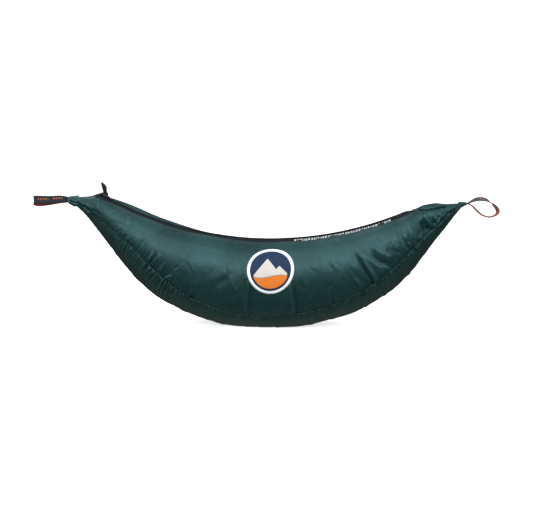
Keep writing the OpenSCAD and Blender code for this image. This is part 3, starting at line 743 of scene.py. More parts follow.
def random_folds(seed, s):
    """Small soft wrinkles all over a side panel, mostly running up from the seam, and crumples near the ends."""
    rng = np.random.default_rng(seed)
    out = []
    for _ in range(120):
        x = rng.uniform(-285, 300)
        b, t = float(at(P, x, 3)), float(top_z(x))
        z = b + (t - b) * rng.uniform(0.05, 0.9)
        slope = (float(at(P, x + 5, 3)) - float(at(P, x - 5, 3))) / 10
        ang = math.atan2(1, -slope) + rng.normal(0, 0.45)
        end = min(1.0, max(0.0, (abs(x - 5) - 150) / 120))
        ln = rng.uniform(9, 26) * (1 - 0.55 * end)
        dx, dz = math.cos(ang) * ln / 2, math.sin(ang) * ln / 2
        bend = rng.normal(0, 0.12) * ln
        out.append((rng.choice(["ridge", "dent", "crease"]), [(x - dx, z - dz), (x + bend * math.sin(ang), z - bend * math.cos(ang)), (x + dx, z + dz)],
                    rng.uniform(0.25, 0.75) * (1 + 0.5 * end), rng.uniform(1.4, 4.2) * (1 - 0.3 * end)))
    return out


def upsample(A, n, m):
    """A grid given at every other row and column, filled in smoothly to n by m."""
    def up(A, k):
        q = np.concatenate([2 * A[:1] - A[1:2], A, 2 * A[-1:] - A[-2:-1]])
        mid = (-q[:-3] + 9 * q[1:-2] + 9 * q[2:-1] - q[3:]) / 16
        out = np.zeros((k,) + A.shape[1:])
        out[::2], out[1::2] = A, mid
        return out
    return np.swapaxes(up(np.swapaxes(up(A, n), 0, 1), m), 0, 1)


VALLEY = 1.3      # depth of the soft valley the seams lie in (mm)


def build_panel(kind):
    """Grid of one panel, in mm, with its relief: (points, smooth base, height of each point above the base)."""
    rows = []
    for x in XS:
        if kind == "bottom":
            rows.append(bottom_section(x, NBOT)[0])
        else:
            rows.append(side_section(x, -1 if kind == "front" else 1, NSIDE)[0])
    B = np.array(rows)
    N = normals(B)
    F = np.zeros(B.shape[:2])
    if kind == "bottom":
        s1, d1 = near_seam(B, -1)
        s2, d2 = near_seam(B, 1)
        F += pucker_field(s1, d1, PUCKERS[-1], -1)
        F += pucker_field(s2, d2, PUCKERS[1], -1)
        D = np.minimum(d1, d2)
        F -= 0.55 * np.exp(-(D / 1.9) ** 2) + VALLEY * np.exp(-(D / 8.5) ** 2)
        rng = np.random.default_rng(5)
        q = B[..., [0, 1]]
        for _ in range(90):
            x0, a0 = rng.uniform(-240, 262), rng.uniform(-0.95, 0.95)
            y0 = a0 * float(at(P, x0, 2))
            dx = rng.uniform(-12, 12)
            F += fold_field(q, rng.choice(["ridge", "dent", "crease"]), [(x0 - dx, y0 - 15), (x0, y0), (x0 + dx * 0.4, y0 + 15)], rng.uniform(0.4, 1.2), rng.uniform(1.8, 4.0))
    else:
        s = -1 if kind == "front" else 1
        S, D = near_seam(B, s)
        F += 1.3 * pucker_field(S, D, PUCKERS[s], 1)
        F -= 0.55 * np.exp(-(D / 1.9) ** 2) + VALLEY * np.exp(-(D / 8.5) ** 2)
        XZ = B[..., [0, 2]]
        for k, pts, A, w in (FRONT_FOLDS if s < 0 else BACK_FOLDS):
            F += fold_field(XZ, k, pts, A, w)
        for k, pts, A, w in random_folds(41 if s < 0 else 42, s):
            F += fold_field(XZ, k, pts, A, w)
        for x0, z0, A, r in (FRONT_LUMPS if s < 0 else BACK_LUMPS):
            F += A * np.exp(-((XZ[..., 0] - x0) ** 2 + (XZ[..., 1] - z0) ** 2) / r**2)
    F += end_pleats(B, 3 if kind == "front" else 4, 0)
    # nothing moves at the panel's own rim beyond the seam's groove, and the badge lies on smooth cloth
    n, m = F.shape
    if kind != "bottom":
        j = np.arange(m)[None, :]
        F *= smooth(j / 6.0)
        if kind == "front":
            bx, bz = B[..., 0] - 17, B[..., 2] - 93.5
            r = np.sqrt(bx**2 + bz**2)
            F *= 1 - 0.8 * (1 - smooth((r - 31) / 12))
    V = B + N * F[..., None]
    V[..., 2] = np.maximum(V[..., 2], 0.25)
    return B, V, N, F, D


PANELS = {}
for kind in ("front", "back", "bottom"):
    B, V, N, F, D = build_panel(kind)
    n, m = F.shape
    C = V[::2, ::2]
    nc, mc = C.shape[:2]
    pin = np.zeros((nc, mc))
    pin[:2], pin[-2:] = 1, 1
    pin[:, :2] = pin[:, -1:] = 1
    if kind == "bottom":
        pin[:, 1] = 0
        pin[C[..., 2] < 1.0] = 1
    grow = np.exp(-(D[::2, ::2] / 36.0) ** 2) * 0.8 + 0.2
    if kind == "front":
        r = np.hypot(C[..., 0] - 17, C[..., 2] - 93.5)
        grow *= smooth((r - 34) / 14)
    W = cloth_sim(C, pin, grow)
    move = W - C
    nrm = normals(C)
    dn = (move * nrm).sum(-1)
    rest = move - nrm * dn[..., None]
    dn = dn - blur(dn, 9, 7)
    rest = rest - np.stack([blur(rest[..., k], 9, 7) for k in range(3)], -1)
    dn = 4.0 * np.tanh(dn / 4.0)
    rest = 1.2 * np.tanh(rest / 1.2)
    hold = blur(1 - pin, 1.0, 1.0) * (pin < 1)
    print("sim", kind, "most", float(np.abs(dn).max()), "mean", float(np.abs(dn).mean()))
    dn, rest = upsample(dn * hold, n, m), upsample(rest * hold[..., None], n, m)
    V = V + normals(V) * dn[..., None] + rest
    F = F + dn
    V[..., 2] = np.maximum(V[..., 2], 0.25)
    PANELS[kind] = (B, V, F)

# the panels share their seams, so their rims meet exactly
for kind, col in (("front", 0), ("back", -1)):
    PANELS["bottom"][1][:, col] = PANELS[kind][1][:, -1]


# ------------------------------------------------------------------ mesh helpers
def make(name, verts, faces, mat, body="root", uv=None, attrs=None, smooth_shade=True, mats=None, mat_index=None):
    me = bpy.data.meshes.new(name)
    me.from_pydata(np.asarray(verts, float).tolist(), [], [list(map(int, f)) for f in faces])
    ob = bpy.data.objects.new(name, me)
    scene.collection.objects.link(ob)
    for m_ in (mats or [mat]):
        me.materials.append(m_)
    if mat_index is not None:
        me.polygons.foreach_set("material_index", np.asarray(mat_index, np.int32))
    if uv is not None:
        layer = me.uv_layers.new(name="UVMap")
        vi = np.zeros(len(me.loops), np.int32)
        me.loops.foreach_get("vertex_index", vi)
        layer.data.foreach_set("uv", np.asarray(uv, np.float32)[vi].ravel())
    for k, v in (attrs or {}).items():
        a = me.attributes.new(k, "FLOAT", "POINT")
        a.data.foreach_set("value", np.asarray(v, np.float32).ravel())
    me.polygons.foreach_set("use_smooth", [smooth_shade] * len(me.polygons))
    me.update()
    return ob


def grid_faces(n, m, close_m=False, flip=False):
    idx = np.arange(n * m).reshape(n, m)
    if close_m:
        idx = np.concatenate([idx, idx[:, :1]], 1)
    q = np.stack([idx[:-1, :-1], idx[1:, :-1], idx[1:, 1:], idx[:-1, 1:]], -1).reshape(-1, 4)
    return q[:, ::-1] if flip else q


def grid_uv(G):
    """UV in tenths of a metre: length along and across the grid."""
    a = np.linalg.norm(np.diff(G, axis=0), axis=2).mean(1)
    u = np.concatenate([[0], np.cumsum(a)])[:, None] * np.ones((1, G.shape[1]))
    b = np.concatenate([np.zeros((G.shape[0], 1)), np.cumsum(np.linalg.norm(np.diff(G, axis=1), axis=2), 1)], 1)
    return np.stack([u, b - b[:, -1:]], -1).reshape(-1, 2) / 100.0


def outward(G):
    n = np.cross(np.gradient(G, axis=0), np.gradient(G, axis=1)).reshape(-1, 3)
    c = np.stack([G[..., 0], 0 * G[..., 0], mid_half(G[..., 0])[0]], -1).reshape(-1, 3)
    return ((G.reshape(-1, 3) - c) * n).sum() > 0


def solidify(ob, t, offset=-1.0):
    md = ob.modifiers.new("Solidify", "SOLIDIFY")
    md.thickness, md.offset, md.use_even_offset = t, offset, False
    return ob


def subsurf(ob, levels=1):
    md = ob.modifiers.new("Subsurf", "SUBSURF")
    md.levels = md.render_levels = levels
    md.boundary_smooth = "PRESERVE_CORNERS"
    return ob


panel_objects = {}
for kind, mat, slot_name, node in (("front", "shell", "shell_ripstop", "front_side_panel"),
                                   ("back", "shell", "shell_ripstop", "back_side_panel"),
                                   ("bottom", "gusset", "gusset_ripstop", "bottom_panel")):
    B, V, F = PANELS[kind]
    n, m = F.shape
    # relief attribute carries painted light: height above the base gives a painted highlight on crests and painted
    # shade in grooves, and the term at the left end adds a painted highlight running into the neck
    ob = make("gusset_panel" if kind == "bottom" else kind + "_panel", V.reshape(-1, 3) * MM, grid_faces(n, m, flip=not outward(B)), M[mat], uv=grid_uv(B),
              attrs={"relief": np.clip(F / (2.2 if kind != "bottom" else 1.5) + 1.1 * np.exp(-np.maximum(B[..., 0] + 301, 0) / 13), -1, 1)})
    solidify(ob, 0.00035)
    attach(ob, "root")
    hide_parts(node)
    panel_objects[kind] = ob

# the final surfaces, for laying the badge, stitches and prints on
dg = bpy.context.evaluated_depsgraph_get()
bpy.context.view_layer.update()


def surface(kind):
    ev = panel_objects[kind].evaluated_get(dg)
    me = ev.to_mesh()
    n = len(me.vertices)
    co = np.zeros(n * 3)
    me.vertices.foreach_get("co", co)
    polys = [list(p.vertices) for p in me.polygons]
    return BVHTree.FromPolygons(co.reshape(-1, 3).tolist(), polys)


BVH = {k: surface(k) for k in panel_objects}


def lay(kind, p, n, lift):
    """Point on the panel's final surface under p (metres), lifted along n."""
    n = Vector(n).normalized()
    o = Vector(p) + n * 0.012
    hit = BVH[kind].ray_cast(o, -n, 0.03)
    q = hit[0] if hit[0] is not None else BVH[kind].find_nearest(Vector(p))[0]
    return q + n * lift


# ------------------------------------------------------------------ badge
WALK_A = np.radians(np.linspace(14, 140, 400))


def badge_frames(u, v, cx=17.0, ca=68.0):
    """Point and outward normal of the front skin at badge coordinates (mm)."""
    x = cx + u
    c = skin(np.full(len(WALK_A), x), WALK_A, -1)
    d = np.concatenate([[0], np.cumsum(np.linalg.norm(np.diff(c, axis=0), axis=1))])
    mid = skin(np.full(len(WALK_A), cx), WALK_A, -1)
    dm = np.concatenate([[0], np.cumsum(np.linalg.norm(np.diff(mid, axis=0), axis=1))])
    s = np.interp(math.radians(ca), WALK_A, dm) - v
    i = np.clip(np.searchsorted(dm, s), 1, len(dm) - 2)
    a = np.interp(s, dm, WALK_A)
    p = skin(np.array([x]), np.array([a]), -1)[0]
    q = skin(np.array([x]), np.array([a + 0.01]), -1)[0]
    r = skin(np.array([x + 1.0]), np.array([a]), -1)[0]
    n = np.cross(r - p, q - p)
    n /= np.linalg.norm(n)
    if n[1] > 0:
        n = -n
    return p, n


def film(name, pts_uv, faces, lift, mat, node):
    verts = []
    for u, v in pts_uv:
        p, n = badge_frames(u, v)
        verts.append(lay("front", p * MM, n, lift))
    ob = make(name, [tuple(v) for v in verts], faces, M[mat], uv=np.array(pts_uv) / 100.0)
    solidify(ob, 0.00012, 1.0)
    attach(ob, "root")
    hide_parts(node)
    return ob


def polar(r0, r1, nr, na):
    pts, rows = [], nr + 1
    for i in range(rows):
        r = r0 + (r1 - r0) * i / nr
        for j in range(na):
            t = 2 * math.pi * j / na
            pts.append((r * math.cos(t), r * math.sin(t)))
    faces = grid_faces(rows, na, close_m=True)
    return pts, faces.tolist()


def disc(r, nr, na):
    pts, faces = polar(r / nr, r, nr - 1, na)
    pts.append((0.0, 0.0))
    c = len(pts) - 1
    faces = faces + [[c, j, (j + 1) % na] for j in range(na)]
    return pts, faces


def oriented(pts, faces):
    """Faces wound so that they look towards the front."""
    out = []
    for f in faces:
        p = np.array([pts[i] for i in f])
        area = 0.5 * sum(p[i, 0] * p[(i + 1) % len(p), 1] - p[(i + 1) % len(p), 0] * p[i, 1] for i in range(len(p)))
        out.append(f if area > 0 else f[::-1])
    return out


BR = 37.0
PIC = BR * 0.78
pts, faces = disc(BR, 16, 96)
film("badge_film_disc", pts, oriented(pts, faces), 0.00035, "white", "badge_film")
pts, faces = disc(BR * 0.87, 14, 96)
film("badge_field_disc", pts, oriented(pts, faces), 0.00060, "navy", "badge_field")


def horizon(u):
    return -10 + 2.2 * math.sin(math.radians(6 * u))


def peaks(u):
    return max(horizon(u) + 0.8, 19 - 1.25 * abs(u + 5), 7 - 1.0 * abs(u - 14))


def band_film(name, lo, hi, um, lift, mat, node, n=84, k=16):
    us = [-um + 2 * um * i / n for i in range(n + 1)]
    pts = [(u, lo(u) + (hi(u) - lo(u)) * j / k) for j in range(k + 1) for u in us]
    faces = grid_faces(k + 1, n + 1).tolist()
    return film(name, pts, oriented(pts, faces), lift, mat, node)


um = PIC * 0.905
circle = lambda u: math.sqrt(max(PIC * PIC - u * u, 0))
band_film("badge_peaks_print", lambda u: horizon(u) + 0.2, lambda u: min(peaks(u), circle(u)), um, 0.00085, "cream", "badge_peaks")
band_film("badge_ground_print", lambda u: -circle(u), lambda u: horizon(u) - 0.2, um, 0.00085, "orange", "badge_ground")


# ------------------------------------------------------------------ tubes, ribbons and stitches
def tube(points, r, sides=6, closed=False, caps=True):
    """Verts and faces of a tube along points (k, 3); r may vary."""
    p = np.asarray(points, float)
    k = len(p)
    t = np.gradient(p, axis=0)
    t /= np.maximum(np.linalg.norm(t, axis=1, keepdims=True), 1e-12)
    up = np.array([0, 0, 1.0]) if abs(t[0, 2]) < 0.9 else np.array([1.0, 0, 0])
    a = np.cross(t[0], up)
    a /= np.linalg.norm(a)
    A = [a]
    for i in range(1, k):
        a = A[-1] - t[i] * (A[-1] @ t[i])
        A.append(a / max(np.linalg.norm(a), 1e-12))
    A = np.array(A)
    Bn = np.cross(t, A)
    r = np.broadcast_to(np.asarray(r, float), (k,))
    th = 2 * np.pi * np.arange(sides) / sides
    V = p[:, None] + r[:, None, None] * (np.cos(th)[None, :, None] * A[:, None] + np.sin(th)[None, :, None] * Bn[:, None])
    F = grid_faces(k, sides, close_m=True).tolist()
    V = V.reshape(-1, 3)
    if caps:
        F.append(list(range(sides)))
        F.append(list(range((k - 1) * sides, k * sides))[::-1])
    return V, F


def join(parts):
    V, F, o = [], [], 0
    for v, f in parts:
        V.append(v)
        F += [[i + o for i in q] for q in f]
        o += len(v)
    return np.vstack(V), F


def stitches(line, normals_, every, length, r, lift):
    """Capsules of thread along a line of points (metres), each sunk into the cloth at its ends."""
    d = np.concatenate([[0], np.cumsum(np.linalg.norm(np.diff(line, axis=0), axis=1))])
    parts = []
    for s0 in np.arange(every, d[-1] - every, every):
        ss = s0 + np.linspace(-0.5, 0.5, 6) * length
        c = np.stack([np.interp(ss, d, line[:, k]) for k in range(3)], 1)
        n = np.stack([np.interp(ss, d, normals_[:, k]) for k in range(3)], 1)
        n /= np.linalg.norm(n, axis=1, keepdims=True)
        h = lift * np.array([-1.0, 0.4, 1.0, 1.0, 0.4, -1.0])
        parts.append(tube(c + n * h[:, None], [r * 0.7, r, r, r, r, r * 0.7], 6))
    return join(parts)


def panel_line(kind, j, off=0.0):
    """The panel's final grid line j in metres, with outward normals."""
    V = PANELS[kind][1]
    N = normals(V)
    return V[:, j] * MM, N[:, j]


def grid_at(kind, dist, from_end=True):
    """Line on the panel at a distance (mm) from its seam or lip, laid on the final surface."""
    V = PANELS[kind][1]
    N = normals(V)
    pts, ns = [], []
    for r, nr in zip(V, N):
        q = r[::-1] if from_end else r
        nn = nr[::-1] if from_end else nr
        d = np.concatenate([[0], np.cumsum(np.linalg.norm(np.diff(q, axis=0), axis=1))])
        dd = min(dist, d[-1] * 0.4)
        p = np.array([np.interp(dd, d, q[:, k]) for k in range(3)])
        nv = np.array([np.interp(dd, d, nn[:, k]) for k in range(3)])
        nv /= np.linalg.norm(nv)
        pts.append(lay(kind, p * MM, nv, 0.0))
        ns.append(nv)
    return np.array([tuple(p) for p in pts]), np.array(ns)


def add_stitches(name, kind, dist, from_end, every, length, r, mat="thread", x0=-296, x1=308):
    L, Nn = grid_at(kind, dist, from_end)
    keep = (L[:, 0] > x0 * MM) & (L[:, 0] < x1 * MM)
    V, F_ = stitches(L[keep], Nn[keep], every, length, r, r * 0.9)
    ob = make(name, V, F_, M[mat])
    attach(ob, "root")
    return ob


add_stitches("front_seam_stitching", "bottom", 1.3, False, 0.0038, 0.0028, 0.00040)
add_stitches("back_seam_stitching", "bottom", 1.3, True, 0.0038, 0.0028, 0.00040)
add_stitches("front_zip_topstitch", "front", 2.4, False, 0.0038, 0.0026, 0.00025, x0=-262, x1=238)
add_stitches("back_zip_topstitch", "back", 2.4, False, 0.0038, 0.0026, 0.00025, x0=-262, x1=238)

# ------------------------------------------------------------------ zip
def arc_point(a, n, y):
    """Point at arc angle a (radians), n above the tape's middle, y (mm)."""
    r = ZR - n
    return np.stack(np.broadcast_arrays(ZCX + r * np.sin(a), y, ZCZ - r * np.cos(a)), -1)


A0, A1 = math.radians(-29.4), math.radians(25.2)


def dip(a):
    """How far the zip sinks under the closed lips at its ends (mm)."""
    g = np.degrees(a)
    return 3.0 * smooth((g - 23.3) / 1.5) + 2.2 * smooth((-28.95 - g) / 0.45)



def zip_tape(name, s, node):
    aa = np.linspace(A0, A1, 260)
    prof = [(0.62, 0.0), (2.0, 0.0), (3.4, 0.0), (4.4, 0.28), (5.2, 0.05), (6.2, -0.1), (7.4, -0.7), (8.6, -1.5), (9.8, -2.3), (11.0, -3.1), (12.2, -3.7)]
    rng = np.random.default_rng(21 if s < 0 else 22)
    ph = rng.uniform(0, 6.28, 6)
    G = []
    for y, n in prof:
        wav = 0.22 * smooth((y - 5.5) / 5) * sum(math.sin(ph[k]) * np.sin(aa * (60 + 37 * k) + ph[k]) for k in range(6))
        low = smooth((y - 4.5) / 6) * lip_fold(ZCX + ZR * np.sin(aa)) * 1.15 if s < 0 else 0
        G.append(arc_point(aa, n + wav - low - dip(aa), s * y))
    G = np.array(G).transpose(1, 0, 2)
    ob = make(name, G.reshape(-1, 3) * MM, grid_faces(*G.shape[:2], flip=s > 0), M["tape"], uv=grid_uv(G))
    if (np.cross(G[1, 0] - G[0, 0], G[0, 1] - G[0, 0])[2] < 0) == (s > 0):
        ob.data.flip_normals()
    subsurf(ob, 1)
    solidify(ob, 0.00055, 0.0)
    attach(ob, "root")
    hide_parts(node)
    return ob


zip_tape("front_tape", -1, "front_zip_tape")
zip_tape("back_tape", 1, "back_zip_tape")


def zip_coil(name, s, node, phase):
    """Continuous nylon coil: one flattened loop of filament for each tooth."""
    a0, a1, pitch = math.radians(-28.95), math.radians(24.25), 1.6
    turns = int((a1 - a0) * (ZR - 1.3) / pitch)
    k = 12
    th = 2 * np.pi * np.arange(turns * k) / k
    a = a0 + (th / (2 * np.pi) + phase) * pitch / (ZR - 1.3)
    c, sn = np.cos(th), np.sin(th)
    y = 1.97 + 1.12 * np.sign(c) * np.abs(c) ** 0.75
    n = 1.36 + 0.60 * np.sign(sn) * np.abs(sn) ** 0.8
    pts = arc_point(a, n - dip(a), s * y)
    V, F_ = tube(pts * MM, 0.00036, 6)
    ob = make(name, V, F_, M["coil"])
    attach(ob, "root")
    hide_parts(node)
    return ob


zip_coil("front_coil", -1, "front_zip_coil", 0.0)
zip_coil("back_coil", 1, "back_zip_coil", 0.5)

# printed marks on the front tape's right part: plain bars and blocks, no letters
mark_parts = []
a = math.radians(4.6)
rng = np.random.default_rng(9)
pattern = [2.4, 2.4, 1.0, 2.4, 1.0, 1.0, 2.4, 3.8]
i = 0
while a < math.radians(20.6):
    wd = pattern[i % len(pattern)]
    a2 = a + wd / ZR
    share = (a - math.radians(4.6)) / math.radians(16)
    y0, y1 = 6.3 + 0.6 * share, 10.6 - 1.4 * share
    aa = np.linspace(a, a2, 4)
    prof_y = np.array([6.2, 7.4, 8.6, 9.8, 11.0])
    prof_n = np.array([-0.1, -0.7, -1.5, -2.3, -3.1])
    ys = np.linspace(y0, y1, 5)
    G = np.array([arc_point(aa, np.interp(y, prof_y, prof_n) + 0.42 - smooth((y - 4.5) / 6) * lip_fold(ZCX + ZR * np.sin(aa)) * 1.15, -y) for y in ys])
    mark_parts.append((G.reshape(-1, 3) * MM, grid_faces(5, 4).tolist()))
    a = a2 + (2.0 if i % len(pattern) == len(pattern) - 1 else 1.25) / ZR
    i += 1
V, F_ = join(mark_parts)
ob = make("tape_print_marks", V, F_, M["mark"], uv=np.zeros((len(V), 2)))
solidify(ob, 0.00012, 0.0)
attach(ob, "root")

# stops: crimped wire round each coil at the left, one across both coils at the right
parts = []
for sd in (-1, 1):
    for k in range(2):
        a = math.radians(-29.12 - 0.12 * k)
        th = np.radians(np.linspace(-60, 240, 22))
        parts.append(tube(np.array([arc_point(a, 1.25 + 1.25 * math.sin(t) - float(dip(a)), sd * (2.0 + 1.55 * math.cos(t))) for t in th]) * MM, 0.00045, 8))
V, F_ = join(parts)
ob = make("top_stop_crimps", V, F_, M["metal"])
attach(ob, "root")
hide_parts("zip_top_stops")
parts = []
for k in range(3):
    a = math.radians(24.45 + 0.15 * k)
    yy = np.concatenate([[-3.3, -3.45], np.linspace(-3.2, 3.2, 15), [3.45, 3.3]])
    nn = np.concatenate([[0.2, 1.2], 2.2 + 0.25 * np.cos(np.linspace(-3.2, 3.2, 15)), [1.2, 0.2]])
    parts.append(tube(np.array([arc_point(a, n_ - float(dip(a)), y_) for y_, n_ in zip(yy, nn)]) * MM, 0.00075, 8))
V, F_ = join(parts)
ob = make("bottom_stop_crimp", V, F_, M["metal"])
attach(ob, "root")
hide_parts("zip_bottom_stop")

# ------------------------------------------------------------------ slider and puller keep their CAD shape, with their edges rounded
for node, mat, r in (("zip_slider_body", "metal", 0.00035), ("zip_slider_bridge", "metal", 0.0004), ("zip_puller", "puller", 0.0006)):
    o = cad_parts[node]
    o.data.materials.clear()
    o.data.materials.append(M[mat])
    w = o.modifiers.new("Weld", "WELD")
    w.merge_threshold = 0.00002
    b = o.modifiers.new("Bevel", "BEVEL")
    b.width, b.segments, b.limit_method, b.angle_limit = r, 3, "ANGLE", math.radians(28)
    b.harden_normals = False
    b.use_clamp_overlap = True
    o.data.polygons.foreach_set("use_smooth", [True] * len(o.data.polygons))


# ------------------------------------------------------------------ gathers
def gather_tube(name, x0, x1, c0, c1, ry0, ry1, rz0, rz1, node, seed, flare):
    """The panels' ends, bunched into pleats: a tube with deep folds, its mouth rolled over the panels."""
    rng = np.random.default_rng(seed)
    n, m = 34, 120
    th = np.linspace(0, 2 * np.pi, m, endpoint=False)
    waves = [(rng.integers(5, 9), rng.uniform(0, 6.28), 0.5), (rng.integers(9, 14), rng.uniform(0, 6.28), 0.35), (rng.integers(15, 22), rng.uniform(0, 6.28), 0.2)]
    G = []
    for j in range(n):
        t = j / (n - 1)
        b = 1 + 0.10 * math.sin(math.pi * t)
        f = sum(a_ * np.cos(k_ * th + p_ + 1.2 * math.sin(2.2 * t + p_)) for k_, p_, a_ in waves)
        depth = 0.12 + 0.07 * math.sin(math.pi * t)
        k = b * (1 + depth * f)
        edge = 1.0
        if t < 0.08:
            edge = 0.72 + 0.28 * math.sin(math.pi / 2 * t / 0.08)
        if t > 0.93:
            edge = 1 - 0.16 * ((t - 0.93) / 0.07) ** 2
        fl = 1 + flare * smooth((t - 0.6) / 0.4)
        crumple = (0.07 * np.sin(3 * th + 9 * t + seed) + 0.05 * np.sin(7 * th - 17 * t + 2 * seed)) * math.sin(math.pi * t)
        ry, rz = (ry0 + (ry1 - ry0) * t) * edge * fl, (rz0 + (rz1 - rz0) * t) * edge * fl
        G.append(np.stack([np.full(m, x0 + (x1 - x0) * t) + 0.5 * np.cos(5 * th + seed) * math.sin(math.pi * t),
                           (k + crumple) * ry * np.cos(th), c0 + (c1 - c0) * t + (k + crumple) * rz * np.sin(th)], 1))
    G = np.array(G)
    uv = np.stack([np.linspace(0, (x1 - x0) / 100, n)[:, None] * np.ones((1, m)), np.ones((n, 1)) * (th * (ry0 + rz0) / 200)[None]], -1).reshape(-1, 2)
    F_ = grid_faces(n, m, close_m=True).tolist()
    c = [G[0].mean(0), G[-1].mean(0)]
    V = np.vstack([G.reshape(-1, 3), c])
    k = n * m
    F_ += [[k, j, (j + 1) % m] for j in range(m)]
    F_ += [[k + 1, (n - 1) * m + (j + 1) % m, (n - 1) * m + j] for j in range(m)]
    # pleat height as relief: painted highlight on the pleat crests and painted shade in their folds
    relief = np.concatenate([np.tile(np.clip(sum(a_ * np.cos(k_ * th + p_) for k_, p_, a_ in waves), -1, 1), n), [0, 0]])
    # the left gather takes the lighter neck copy of the shell as a painted highlight; the right gather keeps the shell
    ob = make(name, V * MM, F_, M["neck" if x0 < 0 else "shell"], uv=np.vstack([uv, [[0, 0], [0, 0]]]), attrs={"relief": relief})
    bm_normals(ob)
    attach(ob, "root")
    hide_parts(node)
    return ob


def bm_normals(ob):
    import bmesh
    bm = bmesh.new()
    bm.from_mesh(ob.data)
    bmesh.ops.recalc_face_normals(bm, faces=bm.faces)
    bm.to_mesh(ob.data)
    bm.free()


gather_tube("left_gather", -315.2, -297.0, 198.8, 195.7, 5.4, 9.4, 5.5, 8.0, "left_end_gather", 3, 0.06)
gather_tube("right_gather", 322.0, 308.5, 198.6, 195.6, 3.7, 6.8, 2.2, 4.9, "right_end_gather", 8, 0.04)


# ------------------------------------------------------------------ webbing
def ribbon(name, C, W, half, t, nodes, deco_range, flip=False):
    """A strap along centre line C (k,3) mm with width directions W, half widths, thickness t. + normal side is the outer face."""
    C, W = np.asarray(C, float), np.asarray(W, float)
    W /= np.linalg.norm(W, axis=1, keepdims=True)
    T = np.gradient(C, axis=0)
    T /= np.linalg.norm(T, axis=1, keepdims=True)
    W = W - T * (W * T).sum(1, keepdims=True)
    W /= np.linalg.norm(W, axis=1, keepdims=True)
    Nn = np.cross(W, T) * (-1 if flip else 1)
    d = np.concatenate([[0], np.cumsum(np.linalg.norm(np.diff(C, axis=0), axis=1))])
    half = np.broadcast_to(half, (len(C),))
    # cross-section: outer face, rounded edge, inner face, rounded edge; edges slightly beaded
    sec = []
    for u in np.linspace(-0.94, 0.94, 9):
        sec.append((u, 0.5 - 0.06 * (1 - u * u), 0))
    sec += [(0.985, 0.34, 2), (1.0, 0.0, 2), (0.985, -0.34, 2)]
    for u in np.linspace(0.94, -0.94, 9):
        sec.append((u, -0.5 + 0.06 * (1 - u * u), 1))
    sec += [(-0.985, -0.34, 2), (-1.0, 0.0, 2), (-0.985, 0.34, 2)]
    m = len(sec)
    V = np.array([[C[i] + W[i] * half[i] * u + Nn[i] * t * h for u, h, _ in sec] for i in range(len(C))])
    F_ = grid_faces(len(C), m, close_m=True).tolist()
    idx = []
    for i in range(len(C) - 1):
        for j in range(m):
            a_, b_ = sec[j][2], sec[(j + 1) % m][2]
            idx.append(0 if (a_ == 0 or b_ == 0) and not (a_ == 1 or b_ == 1) else 1 if (a_ == 1 and b_ == 1) else (1 if 1 in (a_, b_) else 0))
    F_.append(list(range(m)))
    F_.append(list(range((len(C) - 1) * m, len(C) * m))[::-1])
    idx += [0, 0]
    uv = np.array([[(d[i] / 100, half[i] * u / 100) for u, h, _ in sec] for i in range(len(C))]).reshape(-1, 2)
    deco = np.array([[1.0 if deco_range[0] <= d[i] / d[-1] <= deco_range[1] else 0.0] * m for i in range(len(C))]).ravel()
    ob = make(name, V.reshape(-1, 3) * MM, F_, None, mats=[M["web_out"], M["web_in"]], mat_index=idx, uv=uv, attrs={"deco": deco})
    bm_normals(ob)
    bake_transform(ob)
    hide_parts(*nodes)
    return ob


def smooth_path(pts, n):
    """Catmull-Rom through points of any dimension, evenly spaced."""
    p = np.array(pts, float)
    q = np.vstack([2 * p[0] - p[1], p, 2 * p[-1] - p[-2]])
    out = []
    for i in range(1, len(q) - 2):
        for t in np.linspace(0, 1, 24, endpoint=False):
            a_, b_, c_, d_ = q[i - 1], q[i], q[i + 1], q[i + 2]
            out.append(0.5 * (2 * b_ + (c_ - a_) * t + (2 * a_ - 5 * b_ + 4 * c_ - d_) * t * t + (3 * b_ - a_ - 3 * c_ + d_) * t**3))
    out.append(p[-1])
    out = np.array(out)
    d = np.concatenate([[0], np.cumsum(np.linalg.norm(np.diff(out[:, :3], axis=0), axis=1))])
    s = np.linspace(0, d[-1], n)
    return np.stack([np.interp(s, d, out[:, k]) for k in range(out.shape[1])], 1)


# left loop: x, y, z of the centre line, half width, lean of the width direction (degrees from upright)
LT = 198.6
left = smooth_path([
    (-303.5, -0.75, LT + 0.2, 3.8, 0), (-309, -0.75, LT + 0.2, 4.0, 0), (-314.5, -0.8, LT + 0.6, 4.4, 0), (-319, -1.0, LT + 1.2, 4.9, 0),
    (-326, -1.9, LT + 1.9, 5.3, 2), (-334, -3.1, LT + 1.6, 5.7, 3), (-345, -4.6, LT + 0.6, 6.1, 3), (-356, -5.3, LT + 0.6, 6.4, 2), (-365, -5.1, LT + 0.7, 6.5, 1),
    (-369.8, -3.2, LT + 0.2, 6.5, 0), (-371.2, 0.0, LT - 1.6, 6.5, 0), (-369.8, 3.2, LT - 3.6, 6.5, 0),
    (-365, 5.1, LT - 4.9, 6.5, -2), (-357, 5.3, LT - 4.7, 6.4, -6), (-347, 4.6, LT - 3.5, 6.1, -8), (-336, 3.2, LT - 1.8, 5.6, -6), (-326, 1.8, LT - 0.6, 5.2, -3),
    (-319, 0.95, LT - 0.1, 4.8, 0), (-314.5, 0.8, LT, 4.4, 0), (-309, 0.75, LT, 4.0, 0), (-303.5, 0.75, LT, 3.8, 0)], 150)
lean = np.radians(left[:, 4])
Wl = np.stack([0 * lean, np.sin(lean), np.cos(lean)], 1)
ribbon("left_loop_strap", left[:, :3], Wl, left[:, 3], 1.2,
       ("left_webbing_tail", "left_webbing_loop"), (0.12, 0.43), flip=False)

